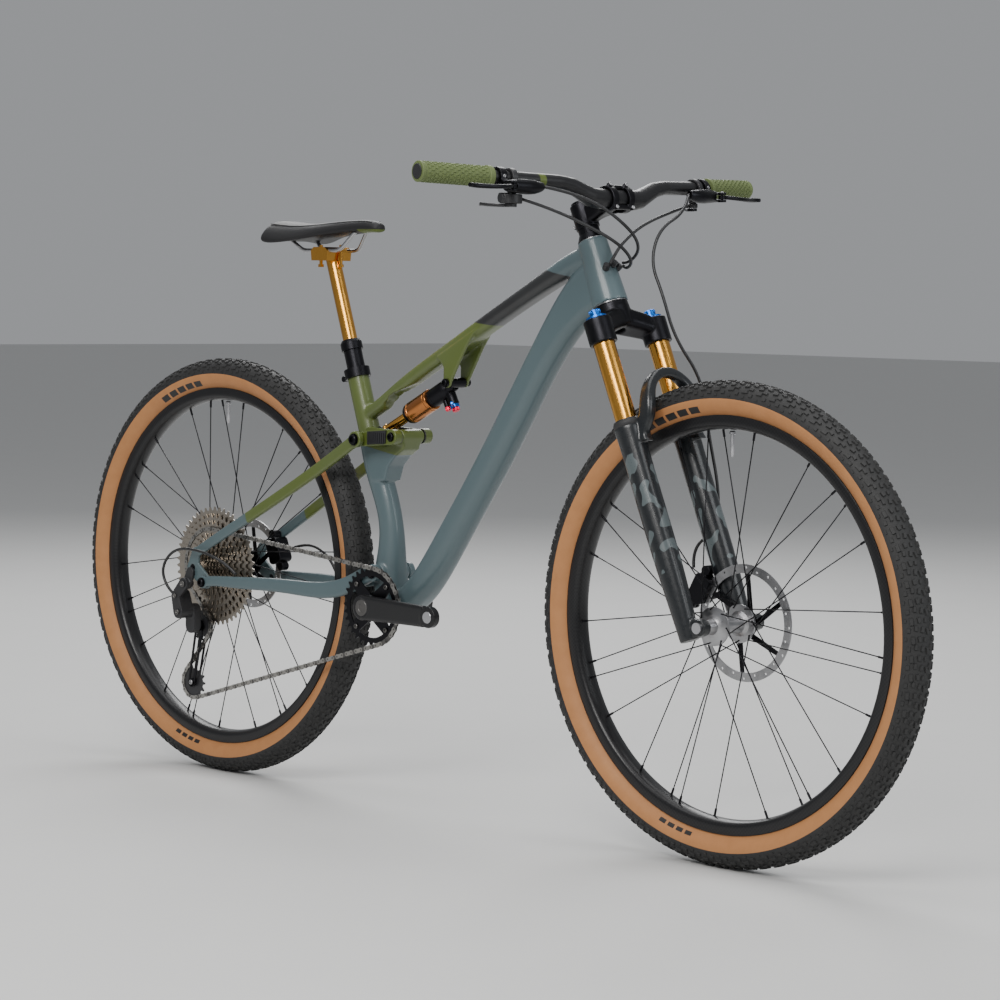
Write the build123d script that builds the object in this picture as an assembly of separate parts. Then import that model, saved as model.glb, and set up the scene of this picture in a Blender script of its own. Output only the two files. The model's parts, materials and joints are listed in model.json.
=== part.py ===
from build123d import *
import os
from math import acos, asin, atan2, cos, degrees, hypot, pi, radians, sin, tan

# Full-suspension mountain bike in millimetres.
# +X is forward, +Y is the rider's left, +Z is up. The drive side is -Y.
# The origin is on the ground, midway between the axles, in the bicycle's middle plane.

# Wheels
WHEELBASE = 1161.0
WHEEL_R = 370.0
REAR_X = -WHEELBASE / 2
FRONT_X = WHEELBASE / 2
TYRE_HALF = 30.5
TREAD_R = 30.5
BEAD_R = 312.0
RIM_R = 317.0
RIM_HALF = 17.0
SPOKES_PER_SIDE = 14
SPOKE_R = 1.0
SPOKE_RIM_R = 297.0
HUB_FLANGE_R = 26.0
REAR_HUB = 148.0
FRONT_HUB = 110.0
ROTOR_INSET = 15.3
REAR_ROTOR_R = 80.0
FRONT_ROTOR_R = 90.0
AXLE_R = 6.0
RUNNING = 0.05

# Brake calipers: side-view centre and the direction away from the axle
REAR_ROTOR_Y = REAR_HUB / 2 - ROTOR_INSET
FRONT_ROTOR_Y = FRONT_HUB / 2 - ROTOR_INSET
REAR_CALIPER = (-511.0, 398.0)
REAR_CALIPER_OUT = (69.5, 28.0)
FRONT_CALIPER = (495.0, 416.0)
FRONT_CALIPER_OUT = (-85.0, 46.0)
CALIPER_IN = 12.0
CALIPER_OUT = 17.0
MOUTH_HALF = 1.6
EAR_OUT = 4.0
EAR_REACH = 30.0

# Front triangle
BB = (-150.0, 336.0)
BB_SHELL_R = 23.0
BB_SHELL_HALF = 36.5
HEAD_ANGLE = radians(67.0)
FORK_OFFSET = 44.0
HEAD_BOTTOM = 538.0
HEAD_TOP = 647.0
HEAD_R_BOTTOM = 28.5
HEAD_R_TOP = 23.5
SEAT_ANGLE = radians(71.5)
SEAT_TOP = (-246.9, 728.0)
SEAT_TUBE_R = 18.5

# Rear suspension pivots, as X and Z
MAIN_PIVOT = (-157.0, 392.0)
REAR_AXLE_RAISED = (-575.05, 482.55)
TYRE_CLEARANCE = 1.6
HORST_PIVOT = (-545.0, 347.0)
STAY_PIVOT = (-190.0, 615.0)
ROCKER_PIVOT = (-117.0, 622.0)
SHOCK_UPPER = (-8.0, 715.5)
SHOCK_LOWER = (-178.0, 626.0)
ROCKER_BRIDGE = (-148.0, 622.0)
ARM_IN = 26.0
ARM_OUT = 43.5
STAY_EYE_IN = 48.3
STAY_EYE_OUT = 58.0

# Fork
LEG_Y = 64.0
LEG_OFFSET = 18.0
STANCHION_R = 17.0
LEG_R = 21.5
SOCKET_R = 22.0
SEAL_TOP = 341.0
CROWN_BOTTOM = 466.0
CROWN_TOP = 506.0
STANCHION_END = 232.0

# Cockpit
STEERER_R = 14.3
STEM_REACH = 68.0
STEM_LOW = 667.0
STEM_TOP = 707.0
BAR_CLAMP_R = 15.9
BAR_R = 11.1
BAR_HALF = 380.0
GRIP_START = 250.0
GRIP_R = 16.0

# Drive
CRANK_LENGTH = 170.0
SPINDLE_R = 14.5
CHAIN_PITCH = 12.7
RING_TEETH = 32
RING_Y = -50.0
COG_TEETH = (10, 12, 14, 16, 18, 21, 24, 28, 33, 39, 45, 51)
COG_STEP = 3.65
FIRST_COG_Y = -67.0
CHAIN_COG = 8
CHAIN_HALF_DEEP = 4.2
CHAIN_HALF_WIDE = 2.45
PLATE_GAP = 1.15
UPPER_PULLEY = (-603.0, 262.0)
LOWER_PULLEY = (-624.0, 158.0)
PULLEY_TEETH = (12, 14)

# Dropper post, as distances along the seat tube's axis from its top
POST_R = 15.45
POST_BOTTOM = -180.0
POST_COLLAR = 36.0
POST_WIPER = 53.8
INNER_R = 12.5
INNER_BOTTOM = -22.0
INNER_TOP = 203.5


# ---------------------------------------------------------------- directions and places

UP_X = -cos(HEAD_ANGLE)
UP_Z = sin(HEAD_ANGLE)
FOOT = (FRONT_X - FORK_OFFSET * UP_Z, WHEEL_R + FORK_OFFSET * UP_X)


STEER_AHEAD = Vector(UP_Z, 0, -UP_X)


def steer(along, ahead=0.0, y=0.0):
    """A point given along the steering axis, ahead of it and sideways."""
    return (FOOT[0] + along * UP_X + ahead * UP_Z, y, FOOT[1] + along * UP_Z - ahead * UP_X)


def seat(along, ahead=0.0, y=0.0):
    """A point given along the seat tube's axis, ahead of it and sideways."""
    x = SEAT_TOP[0] - along * cos(SEAT_ANGLE) + ahead * sin(SEAT_ANGLE)
    return (x, y, SEAT_TOP[1] + along * sin(SEAT_ANGLE) + ahead * cos(SEAT_ANGLE))


def side_point(place, y):
    """A point of the side view at the given Y."""
    return (place[0], y, place[1])


def pitch_radius(teeth):
    return CHAIN_PITCH / (2 * sin(pi / teeth))


def cog_y(index):
    return FIRST_COG_Y + index * COG_STEP


# ---------------------------------------------------------------- solid helpers

def bar(start, end, radius):
    a = Vector(*start)
    b = Vector(*end)
    return Solid.make_cylinder(radius, (b - a).length, Plane(a, z_dir=b - a))


def cone(start, end, first, last):
    a = Vector(*start)
    b = Vector(*end)
    return Solid.make_cone(first, last, (b - a).length, Plane(a, z_dir=b - a))


def pipe(start, end, inner, outer):
    return bar(start, end, outer).cut(bar(start, end, inner))


def join(*shapes):
    first, *others = shapes
    return first.fuse(*others) if others else first


def cross_bar(place, y0, y1, radius):
    """A round bar along Y through a point of the side view."""
    low, high = min(y0, y1), max(y0, y1)
    return bar(side_point(place, low), side_point(place, high), radius)


def slab(outline, y0, y1):
    """A prism between two Y positions from side-view points."""
    low, high = min(y0, y1), max(y0, y1)
    wire = Wire.make_polygon([Vector(x, low, z) for x, z in outline], close=True)
    return Solid.extrude(Face(wire), Vector(0, high - low, 0))


def link_slab(first, first_r, second, second_r, y0, y1):
    """A plate with round ends about two side-view points and straight tangent edges."""
    dx, dz = second[0] - first[0], second[1] - first[1]
    reach = hypot(dx, dz)
    lean = acos((first_r - second_r) / reach)
    heading = atan2(dz, dx)
    corners = []
    for place, radius, turn in ((first, first_r, lean), (second, second_r, lean),
                                (second, second_r, -lean), (first, first_r, -lean)):
        angle = heading + turn
        corners.append((place[0] + radius * cos(angle), place[1] + radius * sin(angle)))
    ends = [cross_bar(first, y0, y1, first_r), cross_bar(second, y0, y1, second_r)]
    return join(slab(corners, y0, y1), *ends)


def tube(stations, corner=0.9):
    """A loft through rounded rectangles: x, y, z, half size in the side view, half size across."""
    places = [Vector(*station[:3]) for station in stations]
    wires = []
    for index, station in enumerate(stations):
        before = places[max(index - 1, 0)]
        after = places[min(index + 1, len(places) - 1)]
        deep, wide = station[3], station[4]
        plane = Plane(places[index], x_dir=(0, 1, 0), z_dir=after - before)
        across = plane.z_dir.cross(Vector(0, 1, 0)).normalized()
        plane = Plane(places[index], x_dir=across, z_dir=across.cross(Vector(0, 1, 0)))
        outline = RectangleRounded(2 * deep, 2 * wide, corner * min(deep, wide))
        wires.append((plane * outline).wire())
    return Solid.make_loft(wires)


def cross_loft(stations, ahead):
    """A loft for sideways paths: x, y, z, half size along the ahead direction, half size across it."""
    places = [Vector(*station[:3]) for station in stations]
    wires = []
    for index, station in enumerate(stations):
        before = places[max(index - 1, 0)]
        after = places[min(index + 1, len(places) - 1)]
        heading = (after - before).normalized()
        side = (ahead - heading * ahead.dot(heading)).normalized()
        plane = Plane(places[index], x_dir=side, z_dir=heading)
        corner = 0.7 * min(station[3], station[4])
        wires.append((plane * RectangleRounded(2 * station[3], 2 * station[4], corner)).wire())
    return Solid.make_loft(wires)


def round_tube(stations, ruled=False):
    """A loft through circles: x, y, z, radius."""
    places = [Vector(*station[:3]) for station in stations]
    wires = []
    for index, station in enumerate(stations):
        before = places[max(index - 1, 0)]
        after = places[min(index + 1, len(places) - 1)]
        wires.append(Wire.make_circle(station[3], Plane(places[index], z_dir=after - before)))
    return Solid.make_loft(wires, ruled=ruled)


def hose(points, radius):
    """A round hose along straight runs joined by arcs as large as the runs allow."""
    corners = [Vector(*point) for point in points]
    radii = []
    for before, here, after in zip(corners, corners[1:], corners[2:]):
        run = min((here - before).length, (after - here).length)
        turn = radians((here - before).get_angle(after - here))
        radii.append(0.45 * run / tan(turn / 2))
    path = FilletPolyline(*corners, radius=radii)
    print("hose radii", [round(value) for value in radii], "length", round(path.length))
    start = Plane(path @ 0, z_dir=path % 0)
    return sweep(start * Circle(radius), path=path).solid()


def wheel_turn(corners, centre_x, centre_z=WHEEL_R):
    """A ring about a wheel's axle from points given as radius and Y, or arcs of three such points."""
    edges = []
    for piece in corners:
        ends = [Vector(centre_x + radius, y, centre_z) for radius, y in piece]
        edges.append(Edge.make_line(*ends) if len(ends) == 2 else Edge.make_three_point_arc(*ends))
    axis = Axis((centre_x, 0, centre_z), (0, 1, 0))
    return Solid.revolve(Face(Wire(edges)), 360, axis)


def path_pairs(points):
    """Straight pieces round a closed outline."""
    return list(zip(points, points[1:] + points[:1]))


def toothed_disc(place, y, teeth, half_thick, inner_r):
    """A sprocket with pointed teeth that stand clear inside the chain's plates."""
    root = pitch_radius(teeth) - CHAIN_HALF_DEEP
    tip = pitch_radius(teeth) + 2.5
    outline = []
    for tooth in range(teeth):
        for share, radius in ((-0.32, root), (-0.1, tip), (0.1, tip), (0.32, root)):
            angle = 2 * pi * (tooth + share) / teeth
            outline.append((place[0] + radius * cos(angle), place[1] + radius * sin(angle)))
    disc = slab(outline, y - half_thick, y + half_thick)
    return disc.cut(cross_bar(place, y - 5, y + 5, inner_r))


def save(name, *shapes):
    solids = [solid for shape in shapes for solid in shape.solids()]
    export_step(Compound(solids) if len(solids) > 1 else solids[0], f"parts/{name}.step")


# ---------------------------------------------------------------- front triangle

DOWN_TUBE = (
    (-118, 0, 344, 21, 30), (-78, 0, 372, 25, 28), (-42, 0, 415, 27, 26), (36, 0, 525, 27, 25),
    (148, 0, 693, 28, 25), (212, 0, 789, 30, 24), (262, 0, 848, 37, 22), (312, 0, 884, 42, 20),
)
TOP_TUBE = (
    (-219, 0, 654, 12, 13), (-164, 0, 684, 12.5, 14), (-70, 0, 740.5, 12.5, 17),
    (0, 0, 777.8, 13, 19), (112, 0, 838.6, 14, 20), (199, 0, 884.4, 15.5, 21),
    (252, 0, 911, 18, 20), (297, 0, 926, 16, 19),
)
SEAT_TUBE_LOW = (
    (-209, 0, 614, 19.5, 18.5), (-191, 0, 562, 21, 19), (-169, 0, 512, 20.5, 19),
    (-156, 0, 462, 20.5, 20), (-156, 0, 411, 24, 25), (-150, 0, 356, 22, 31),
)
ROCKER_FLANGE = (
    (-214, 606), (-190, 607), (-150, 607), (-128, 616), (-106, 616),
    (-112, 600), (-131, 588), (-148, 570), (-156, 545), (-186, 545),
)
EAR = ((-34, 757), (-17, 742), (-17, 716), (1, 716), (16, 742), (34, 773), (58, 806), (20, 786))


def shock_axis_at(compression):
    """The lower shock eye for a share of the rocker's full turn, as X and Z."""
    arm_x = SHOCK_LOWER[0] - ROCKER_PIVOT[0]
    arm_z = SHOCK_LOWER[1] - ROCKER_PIVOT[1]
    turn = -radians(60.2) * compression
    x = ROCKER_PIVOT[0] + arm_x * cos(turn) - arm_z * sin(turn)
    z = ROCKER_PIVOT[1] + arm_x * sin(turn) + arm_z * cos(turn)
    return (x, z)


def head_tube():
    return cone(steer(HEAD_BOTTOM), steer(HEAD_TOP), HEAD_R_BOTTOM, HEAD_R_TOP)


def main_frame():
    """The moulded front triangle with its bores, bearing seats and shock relief."""
    ears = [slab(EAR, side * 17, side * 23) for side in (-1, 1)]
    ear_eyes = [cross_bar(SHOCK_UPPER, side * 17, side * 23, 9.0) for side in (-1, 1)]
    solids = [
        tube(DOWN_TUBE), tube(TOP_TUBE), tube(SEAT_TUBE_LOW),
        bar(seat(-130), seat(0), SEAT_TUBE_R),
        head_tube(),
        cross_bar(BB, -BB_SHELL_HALF, BB_SHELL_HALF, BB_SHELL_R),
        cross_bar(MAIN_PIVOT, -31.9, 31.9, 15.0),
        slab(ROCKER_FLANGE, -20, 20),
        cross_bar(ROCKER_PIVOT, -25.6, 25.6, 12.5),
    ]
    frame = join(*solids, *ears, *ear_eyes)
    bores = [
        bar(seat(POST_BOTTOM - 2), seat(5), POST_R),
        bar(steer(HEAD_BOTTOM - 5), steer(HEAD_TOP + 5), 16.5),
        cone(steer(HEAD_BOTTOM - 1), steer(600), 22.5, 16.0),
        bar(steer(HEAD_BOTTOM - 5), steer(HEAD_BOTTOM + 8), 26.0),
        bar(steer(HEAD_TOP - 7), steer(HEAD_TOP + 5), 21.0),
        cross_bar(BB, -60, 60, 21.0),
        cross_bar(MAIN_PIVOT, -60, 60, 7.5),
        cross_bar(ROCKER_PIVOT, -60, 60, 7.5),
        cross_bar(SHOCK_UPPER, -60, 60, 4.0),
    ]
    full = shock_axis_at(1.0)
    near_full = shock_axis_at(0.85)
    relief = [
        bar(side_point(full, 0), side_point(SHOCK_UPPER, 0), 20.5),
        bar(side_point(near_full, 0), side_point(SHOCK_UPPER, 0), 20.5),
    ]
    keep = bar(side_point(SHOCK_UPPER, -40), side_point(SHOCK_UPPER, 40), 12.0)
    relief = [piece.cut(keep) for piece in relief]
    slots = [cross_bar(shock_axis_at(share), -12.5, 12.5, 12.5) for share in (0.8, 0.9, 1.0)]
    trims = [bar(steer(HEAD_BOTTOM - 20), steer(HEAD_BOTTOM), 31.0),
             bar(steer(HEAD_TOP), steer(HEAD_TOP + 20), 40.0),
             cross_bar(REAR_AXLE_RAISED, -40, 40, WHEEL_R + TYRE_CLEARANCE)]
    return frame.cut(*trims).cut(*bores).cut(*relief, *slots)


def headset_bearings():
    lower = pipe(steer(HEAD_BOTTOM), steer(HEAD_BOTTOM + 8), 20.0 + RUNNING, 26.0)
    upper = pipe(steer(HEAD_TOP - 7), steer(HEAD_TOP), STEERER_R + RUNNING, 21.0)
    return [lower, upper]


def bottom_bracket_cups():
    cups = []
    for side in (-1, 1):
        shoulder = side_point(BB, side * BB_SHELL_HALF)
        bore_r = SPINDLE_R + RUNNING
        inner = pipe(side_point(BB, side * 24), shoulder, bore_r, 21.0)
        rim = pipe(shoulder, side_point(BB, side * 42), bore_r, 24.0)
        cups.append(join(inner, rim))
    return cups


def cable_ports():
    """Three rubber plugs set in the head tube, each with a hose hole at its outer end."""
    ports = []
    for along, ahead, y in ((590, 23.0, -13.0), (594, 27.3, 0.0), (590, 23.0, 13.0)):
        start = steer(along, ahead - 2.0, y)
        end = steer(along + 4, ahead + 6.0, y * 1.2)
        ports.append(bar(start, end, 5.5))
    blank = head_tube()
    return [port.cut(blank) for port in ports]


def frame_pivot_axles():
    """Main pivot axle, rocker axle and upper shock bolt."""
    main = cross_bar(MAIN_PIVOT, -44.8, 44.8, 7.5)
    main_caps = [cross_bar(MAIN_PIVOT, side * 44.8, side * 46.0, 9.5) for side in (-1, 1)]
    rocker = cross_bar(ROCKER_PIVOT, -43.3, 43.3, 7.5)
    bolt = cross_bar(SHOCK_UPPER, -23, 23, 4.0)
    heads = [cross_bar(SHOCK_UPPER, side * 23, side * 27, 7.0) for side in (-1, 1)]
    return [join(main, *main_caps), rocker, join(bolt, *heads)]


def seat_clamp():
    ring = pipe(seat(-13), seat(0), SEAT_TUBE_R, 22.0)
    lip = pipe(seat(0), seat(3), POST_R, 22.0)
    lug = bar(seat(-7, -27, -9), seat(-7, -27, 9), 5.0).fuse(
        bar(seat(-7, -19, -5), seat(-7, -27, -5), 4.5), bar(seat(-7, -19, 5), seat(-7, -27, 5), 4.5))
    bore = bar(seat(-20), seat(0), SEAT_TUBE_R)
    return join(ring, lip, lug).cut(bore)


# ---------------------------------------------------------------- dropper post and saddle

def dropper_outer():
    """The fixed lower tube with its collar and wiper."""
    body = join(bar(seat(POST_BOTTOM), seat(POST_COLLAR), POST_R),
                bar(seat(POST_COLLAR), seat(POST_WIPER - 5), 18.5),
                cone(seat(POST_WIPER - 5), seat(POST_WIPER), 18.5, 15.5))
    bores = [bar(seat(POST_BOTTOM + 3), seat(POST_WIPER - 6), INNER_R + 0.7),
             bar(seat(POST_WIPER - 7), seat(POST_WIPER + 1), INNER_R + RUNNING)]
    return body.cut(*bores)


RAIL_R = 3.5
RAIL_Y = 22.0
RAIL_Z = 931.0
HEAD_WIDE = 28.0
HEAD_BOLT_REACH = 25.0
SADDLE = (
    (-189, 0, 968, 7, 11), (-205, 0, 971, 9, 16), (-225, 0, 972, 10, 19), (-270, 0, 969, 12, 25),
    (-330, 0, 964, 12, 40), (-370, 0, 962, 14, 58), (-405, 0, 963, 17, 67), (-425, 0, 965, 17, 66),
    (-434, 0, 967, 12, 58),
)


def dropper_inner():
    """The moving stanchion with its saddle clamp head."""
    stanchion = bar(seat(INNER_BOTTOM), seat(INNER_TOP), INNER_R)
    x = seat(INNER_TOP)[0] - 4
    cradle = slab([(x - 19, RAIL_Z - 17), (x + 19, RAIL_Z - 17), (x + 21, RAIL_Z), (x - 21, RAIL_Z)],
                  -HEAD_WIDE, HEAD_WIDE)
    lid = slab([(x - 21, RAIL_Z), (x + 21, RAIL_Z), (x + 14, RAIL_Z + 6), (x - 14, RAIL_Z + 6)],
               -HEAD_WIDE, HEAD_WIDE)
    pieces = [stanchion, cradle, lid]
    for ahead in (-HEAD_BOLT_REACH, HEAD_BOLT_REACH):
        pieces.append(bar((x + ahead, 0, RAIL_Z - 26), (x + ahead, 0, RAIL_Z + 10), 3.0))
        pieces.append(bar((x + ahead, 0, RAIL_Z - 28), (x + ahead, 0, RAIL_Z - 23), 5.0))
    low, high = RAIL_Z - 3, RAIL_Z + 5
    for back, front in ((x - 30, x - 18), (x + 18, x + 30)):
        pieces.append(slab([(back, low), (front, low), (front, high), (back, high)], -6, 6))
    grooves = []
    for y in (-RAIL_Y, RAIL_Y):
        grooves.append(bar((x - 40, y, RAIL_Z), (x + 40, y, RAIL_Z), RAIL_R))
    return join(*pieces).cut(*grooves)


def saddle():
    return tube(SADDLE, corner=0.8)


def saddle_rails():
    """Two bent rails from under the tail, through the clamp, to under the nose."""
    rails = []
    cushion = saddle()
    for side in (-1, 1):
        path = FilletPolyline((-390, side * 32, 953), (-362, side * RAIL_Y, RAIL_Z),
                              (-270, side * RAIL_Y, RAIL_Z), (-238, side * 12, 966), radius=25)
        start = Plane(path @ 0, z_dir=path % 0)
        rail = sweep(start * Circle(RAIL_R), path=path).solid()
        rails.append(rail.cut(cushion))
    return rails


# ---------------------------------------------------------------- rear suspension

def chainstay():
    """Both chainstay arms, joined by a bridge in front of the tyre."""
    arms = []
    for side in (-1, 1):
        stations = [(-170, side * 38.6, 389, 14.5, 6.0), (-205, side * 40.6, 372, 15, 6.0),
                    (-250, side * 44.5, 357, 14.5, 6.0), (-320, side * 53, 353, 13, 6.5),
                    (-400, side * 63.5, 354, 11.5, 6.3), (-480, side * 76, 352, 10, 5.5),
                    (-545, side * 84.3, 347, 9.0, 3.5)]
        arms.append(tube(stations, corner=0.7))
        arms.append(cross_bar(MAIN_PIVOT, side * 32.2, side * 44.5, 15.0))
        arms.append(cross_bar(HORST_PIVOT, side * 80.5, side * 88, 11.0))
    bridge = slab([(-203, 364), (-196, 364), (-196, 383), (-203, 383)], -37, 37)
    bores = [cross_bar(MAIN_PIVOT, -60, 60, 7.5 + RUNNING), cross_bar(HORST_PIVOT, -95, 95, 5.0 + RUNNING)]
    clearance = [cross_bar(HORST_PIVOT, side * 60, side * 80.5, 16.0) for side in (-1, 1)]
    bores.append(cross_bar(MAIN_PIVOT, -32.2, 32.2, 16.5))
    return join(*arms, bridge).cut(*bores, *clearance)


def seatstay():
    """Both seatstay arms with their dropouts."""
    axle = (REAR_X, WHEEL_R)
    top = (-574.0, 398.0)
    solids = []
    for side in (-1, 1):
        solids.append(cross_bar(STAY_PIVOT, side * STAY_EYE_IN, side * STAY_EYE_OUT, 14.0))
        stations = [(-196, side * 53.2, 611, 11, 4.8), (-250, side * 55, 578, 10.5, 5.0),
                    (-420, side * 67, 481, 9.5, 5.0), (-560, side * 76.6, 404, 9.0, 3.4),
                    (-578, side * 77, 394, 9.0, 3.0)]
        solids.append(tube(stations, corner=0.7))
        solids.append(link_slab(axle, 15.0, HORST_PIVOT, 12.0, side * 74, side * 80))
        solids.append(link_slab(axle, 14.0, top, 9.0, side * 74, side * 80))
    stays = join(*solids)
    bores = [cross_bar(axle, -90, 90, AXLE_R), cross_bar(HORST_PIVOT, -90, 90, 5.0),
             cross_bar(STAY_PIVOT, -70, 70, 8.0)]
    return stays.cut(*bores)


def stay_pivot_bolts():
    """The pivot bolts held by the seatstay: two at the rocker and two at the chainstay."""
    axle_bolts = []
    for side in (-1, 1):
        eye = cross_bar(STAY_PIVOT, side * STAY_EYE_IN, side * (STAY_EYE_OUT + 0.5), 8.0)
        head = cross_bar(STAY_PIVOT, side * (STAY_EYE_OUT + 0.5), side * (STAY_EYE_OUT + 2), 10.0)
        axle_bolts.append(join(eye, head))
        shank = cross_bar(HORST_PIVOT, side * 74.5, side * 88.4, 5.0)
        cap = cross_bar(HORST_PIVOT, side * 88.4, side * 90.4, 8.5)
        axle_bolts.append(join(shank, cap))
    return axle_bolts


def rocker_link():
    """Two arms from the rocker pivot to the stay pivot, with an upright lug to the shock, and a bridge."""
    solids = []
    for side in (-1, 1):
        solids.append(link_slab(ROCKER_PIVOT, 13.0, STAY_PIVOT, 12.0, side * ARM_IN, side * ARM_OUT))
        solids.append(link_slab(ROCKER_PIVOT, 11.0, SHOCK_LOWER, 10.0, side * ARM_IN, side * 36))
    solids.append(cross_bar(ROCKER_BRIDGE, -30, 30, 6.0))
    return join(*solids).cut(cross_bar(ROCKER_PIVOT, -60, 60, 7.5 + RUNNING))


def rocker_covers():
    """Ribbed cover plates on the outer faces of the rocker's arms."""
    covers = []
    for side in (-1, 1):
        plate = slab([(-171, 607), (-128, 611), (-126, 633), (-171, 629)], side * ARM_OUT, side * 46.3)
        ribs = [slab([(x, 609.5), (x + 2.4, 609.7), (x + 2.4, 628), (x, 628)], side * 46.3, side * 47.4)
                for x in range(-168, -132, 5)]
        covers.append(join(plate, *ribs))
    return covers


# ---------------------------------------------------------------- shock

SHOCK_DX = SHOCK_LOWER[0] - SHOCK_UPPER[0]
SHOCK_DZ = SHOCK_LOWER[1] - SHOCK_UPPER[1]
SHOCK_LENGTH = hypot(SHOCK_DX, SHOCK_DZ)
CAN_START = 62.0
CAN_END = 126.0
CAN_R = 18.5
SHAFT_R = 8.5


def shock(along, below=0.0, y=0.0):
    """A point given along the shock from its upper eye, and below its axis."""
    ax, az = SHOCK_DX / SHOCK_LENGTH, SHOCK_DZ / SHOCK_LENGTH
    return (SHOCK_UPPER[0] + ax * along - az * below, y, SHOCK_UPPER[1] + az * along + ax * below)


def shock_body():
    """Eyelet, valve head, control housing, dials and air can."""
    eyelet = cross_bar(SHOCK_UPPER, -16.7, 16.7, 8.5)
    neck = bar(shock(5), shock(30), 11.0)
    head = join(bar(shock(26), shock(CAN_START), 16.0), cone(shock(18), shock(26), 11.0, 16.0))
    housing = bar(shock(20, 4), shock(20, 30), 9.0)
    side_dial = bar(shock(36, 12), shock(36, 34), 4.5)
    can = join(bar(shock(CAN_START), shock(CAN_END - 6), CAN_R),
               cone(shock(CAN_END - 6), shock(CAN_END), CAN_R, 13.0))
    body = join(eyelet, neck, head, housing, side_dial, can)
    bores = [bar(shock(50), shock(CAN_END - 5), 15.5), bar(shock(100), shock(CAN_END + 5), SHAFT_R + RUNNING),
             cross_bar(SHOCK_UPPER, -60, 60, 4.0 + RUNNING)]
    return body.cut(*bores)


def shock_shaft():
    """Damper shaft with the lower eyelet and its bolt."""
    shaft = bar(shock(104), shock(SHOCK_LENGTH - 6), SHAFT_R)
    piston = bar(shock(101), shock(107), 15.3)
    eyelet = cross_bar(SHOCK_LOWER, -11, 11, 10.5)
    bolt = cross_bar(SHOCK_LOWER, -25.6, 25.6, 5.5)
    return join(shaft, piston, eyelet, bolt)


def shock_lever():
    """Compression lever with the rebound dial behind it."""
    hub = bar(shock(20, 30.5), shock(20, 36.0), 8.0)
    blade = bar(shock(18, 33.4, -6), shock(6, 33.4, -20), 2.6)
    dial = bar(shock(20, 36.0), shock(20, 42), 6.0)
    return join(hub, blade, dial)


# ---------------------------------------------------------------- fork

def fork_crown():
    """Crown with its tapered steerer."""
    steerer = join(cone(steer(534), steer(HEAD_BOTTOM + 9), 20.0, 20.0 - 0.001),
                   cone(steer(HEAD_BOTTOM + 9), steer(595), 20.0, STEERER_R),
                   bar(steer(594), steer(STEM_TOP - 1), STEERER_R))
    race = bar(steer(530), steer(HEAD_BOTTOM - 0.4), 27.0)
    middle = bar(steer(500), steer(531), 27.5)
    shoulders = []
    sockets = []
    for side in (-1, 1):
        shoulders.append(cross_loft([steer(512, 2, 0) + (24, 17), steer(505, 6, side * 26) + (23, 16),
                                     steer(489, LEG_OFFSET, side * LEG_Y) + (18, 15)], STEER_AHEAD))
        sockets.append(bar(steer(CROWN_BOTTOM, LEG_OFFSET, side * LEG_Y),
                           steer(CROWN_TOP, LEG_OFFSET, side * LEG_Y), SOCKET_R))
    crown = join(steerer, race, middle, *shoulders, *sockets)
    bores = [bar(steer(CROWN_BOTTOM - 5, LEG_OFFSET, side * LEG_Y),
                 steer(CROWN_TOP + 5, LEG_OFFSET, side * LEG_Y), STANCHION_R) for side in (-1, 1)]
    return crown.cut(*bores, bar(steer(470), steer(STEM_TOP + 5), 11.0))


def stanchions():
    tubes = []
    for side in (-1, 1):
        low = steer(STANCHION_END, LEG_OFFSET, side * LEG_Y)
        high = steer(CROWN_TOP, LEG_OFFSET, side * LEG_Y)
        tubes.append(pipe(low, high, STANCHION_R - 2, STANCHION_R))
    return tubes


def fork_top_caps():
    caps = []
    for side in (-1, 1):
        base = steer(CROWN_TOP, LEG_OFFSET, side * LEG_Y)
        middle = steer(CROWN_TOP + 4, LEG_OFFSET, side * LEG_Y)
        top = steer(CROWN_TOP + 11, LEG_OFFSET, side * LEG_Y)
        caps.append(join(bar(base, middle, 16.5), bar(middle, top, 9.0)))
    return caps


def fork_lowers():
    """Both legs, the arch in front of the stanchions and the dropouts."""
    solids = []
    bores = []
    for side in (-1, 1):
        leg = [steer(-12, 16, side * LEG_Y) + (15,), steer(40, LEG_OFFSET, side * LEG_Y) + (18,),
               steer(150, LEG_OFFSET, side * LEG_Y) + (21,), steer(300, LEG_OFFSET, side * LEG_Y) + (LEG_R,),
               steer(SEAL_TOP - 12, LEG_OFFSET, side * LEG_Y) + (LEG_R + 1,)]
        solids.append(round_tube(leg))
        solids.append(bar(steer(SEAL_TOP - 13, LEG_OFFSET, side * LEG_Y),
                          steer(SEAL_TOP, LEG_OFFSET, side * LEG_Y), 21.0))
        solids.append(tube([steer(14, 16, side * 63) + (14, 8), steer(2, 34, side * 63) + (15, 8),
                            steer(-1, 52, side * 63) + (11, 8)], corner=0.7))
        solids.append(cross_bar((FRONT_X, WHEEL_R), side * 55.2, side * 72, 13.0))
        low = steer(STANCHION_END - 125, LEG_OFFSET, side * LEG_Y)
        bores.append(bar(low, steer(SEAL_TOP - 8, LEG_OFFSET, side * LEG_Y), STANCHION_R + 0.4))
        bores.append(bar(low, steer(SEAL_TOP + 5, LEG_OFFSET, side * LEG_Y), STANCHION_R + RUNNING))
    bores.append(cross_bar((FRONT_X, WHEEL_R), -90, 90, AXLE_R))
    return join(*solids, fork_arch(), *caliper_posts()).cut(*bores)


def caliper_posts():
    """Two posts from the left leg's back to the caliper's ears."""
    posts = []
    for x, z in caliper_ears(FRONT_CALIPER, *FRONT_CALIPER_OUT):
        along = (x - FOOT[0]) * UP_X + (z - FOOT[1]) * UP_Z
        posts.append(bar((x, FRONT_ROTOR_Y + 4, z), steer(along, LEG_OFFSET, LEG_Y), 5.0))
    return posts


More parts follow.
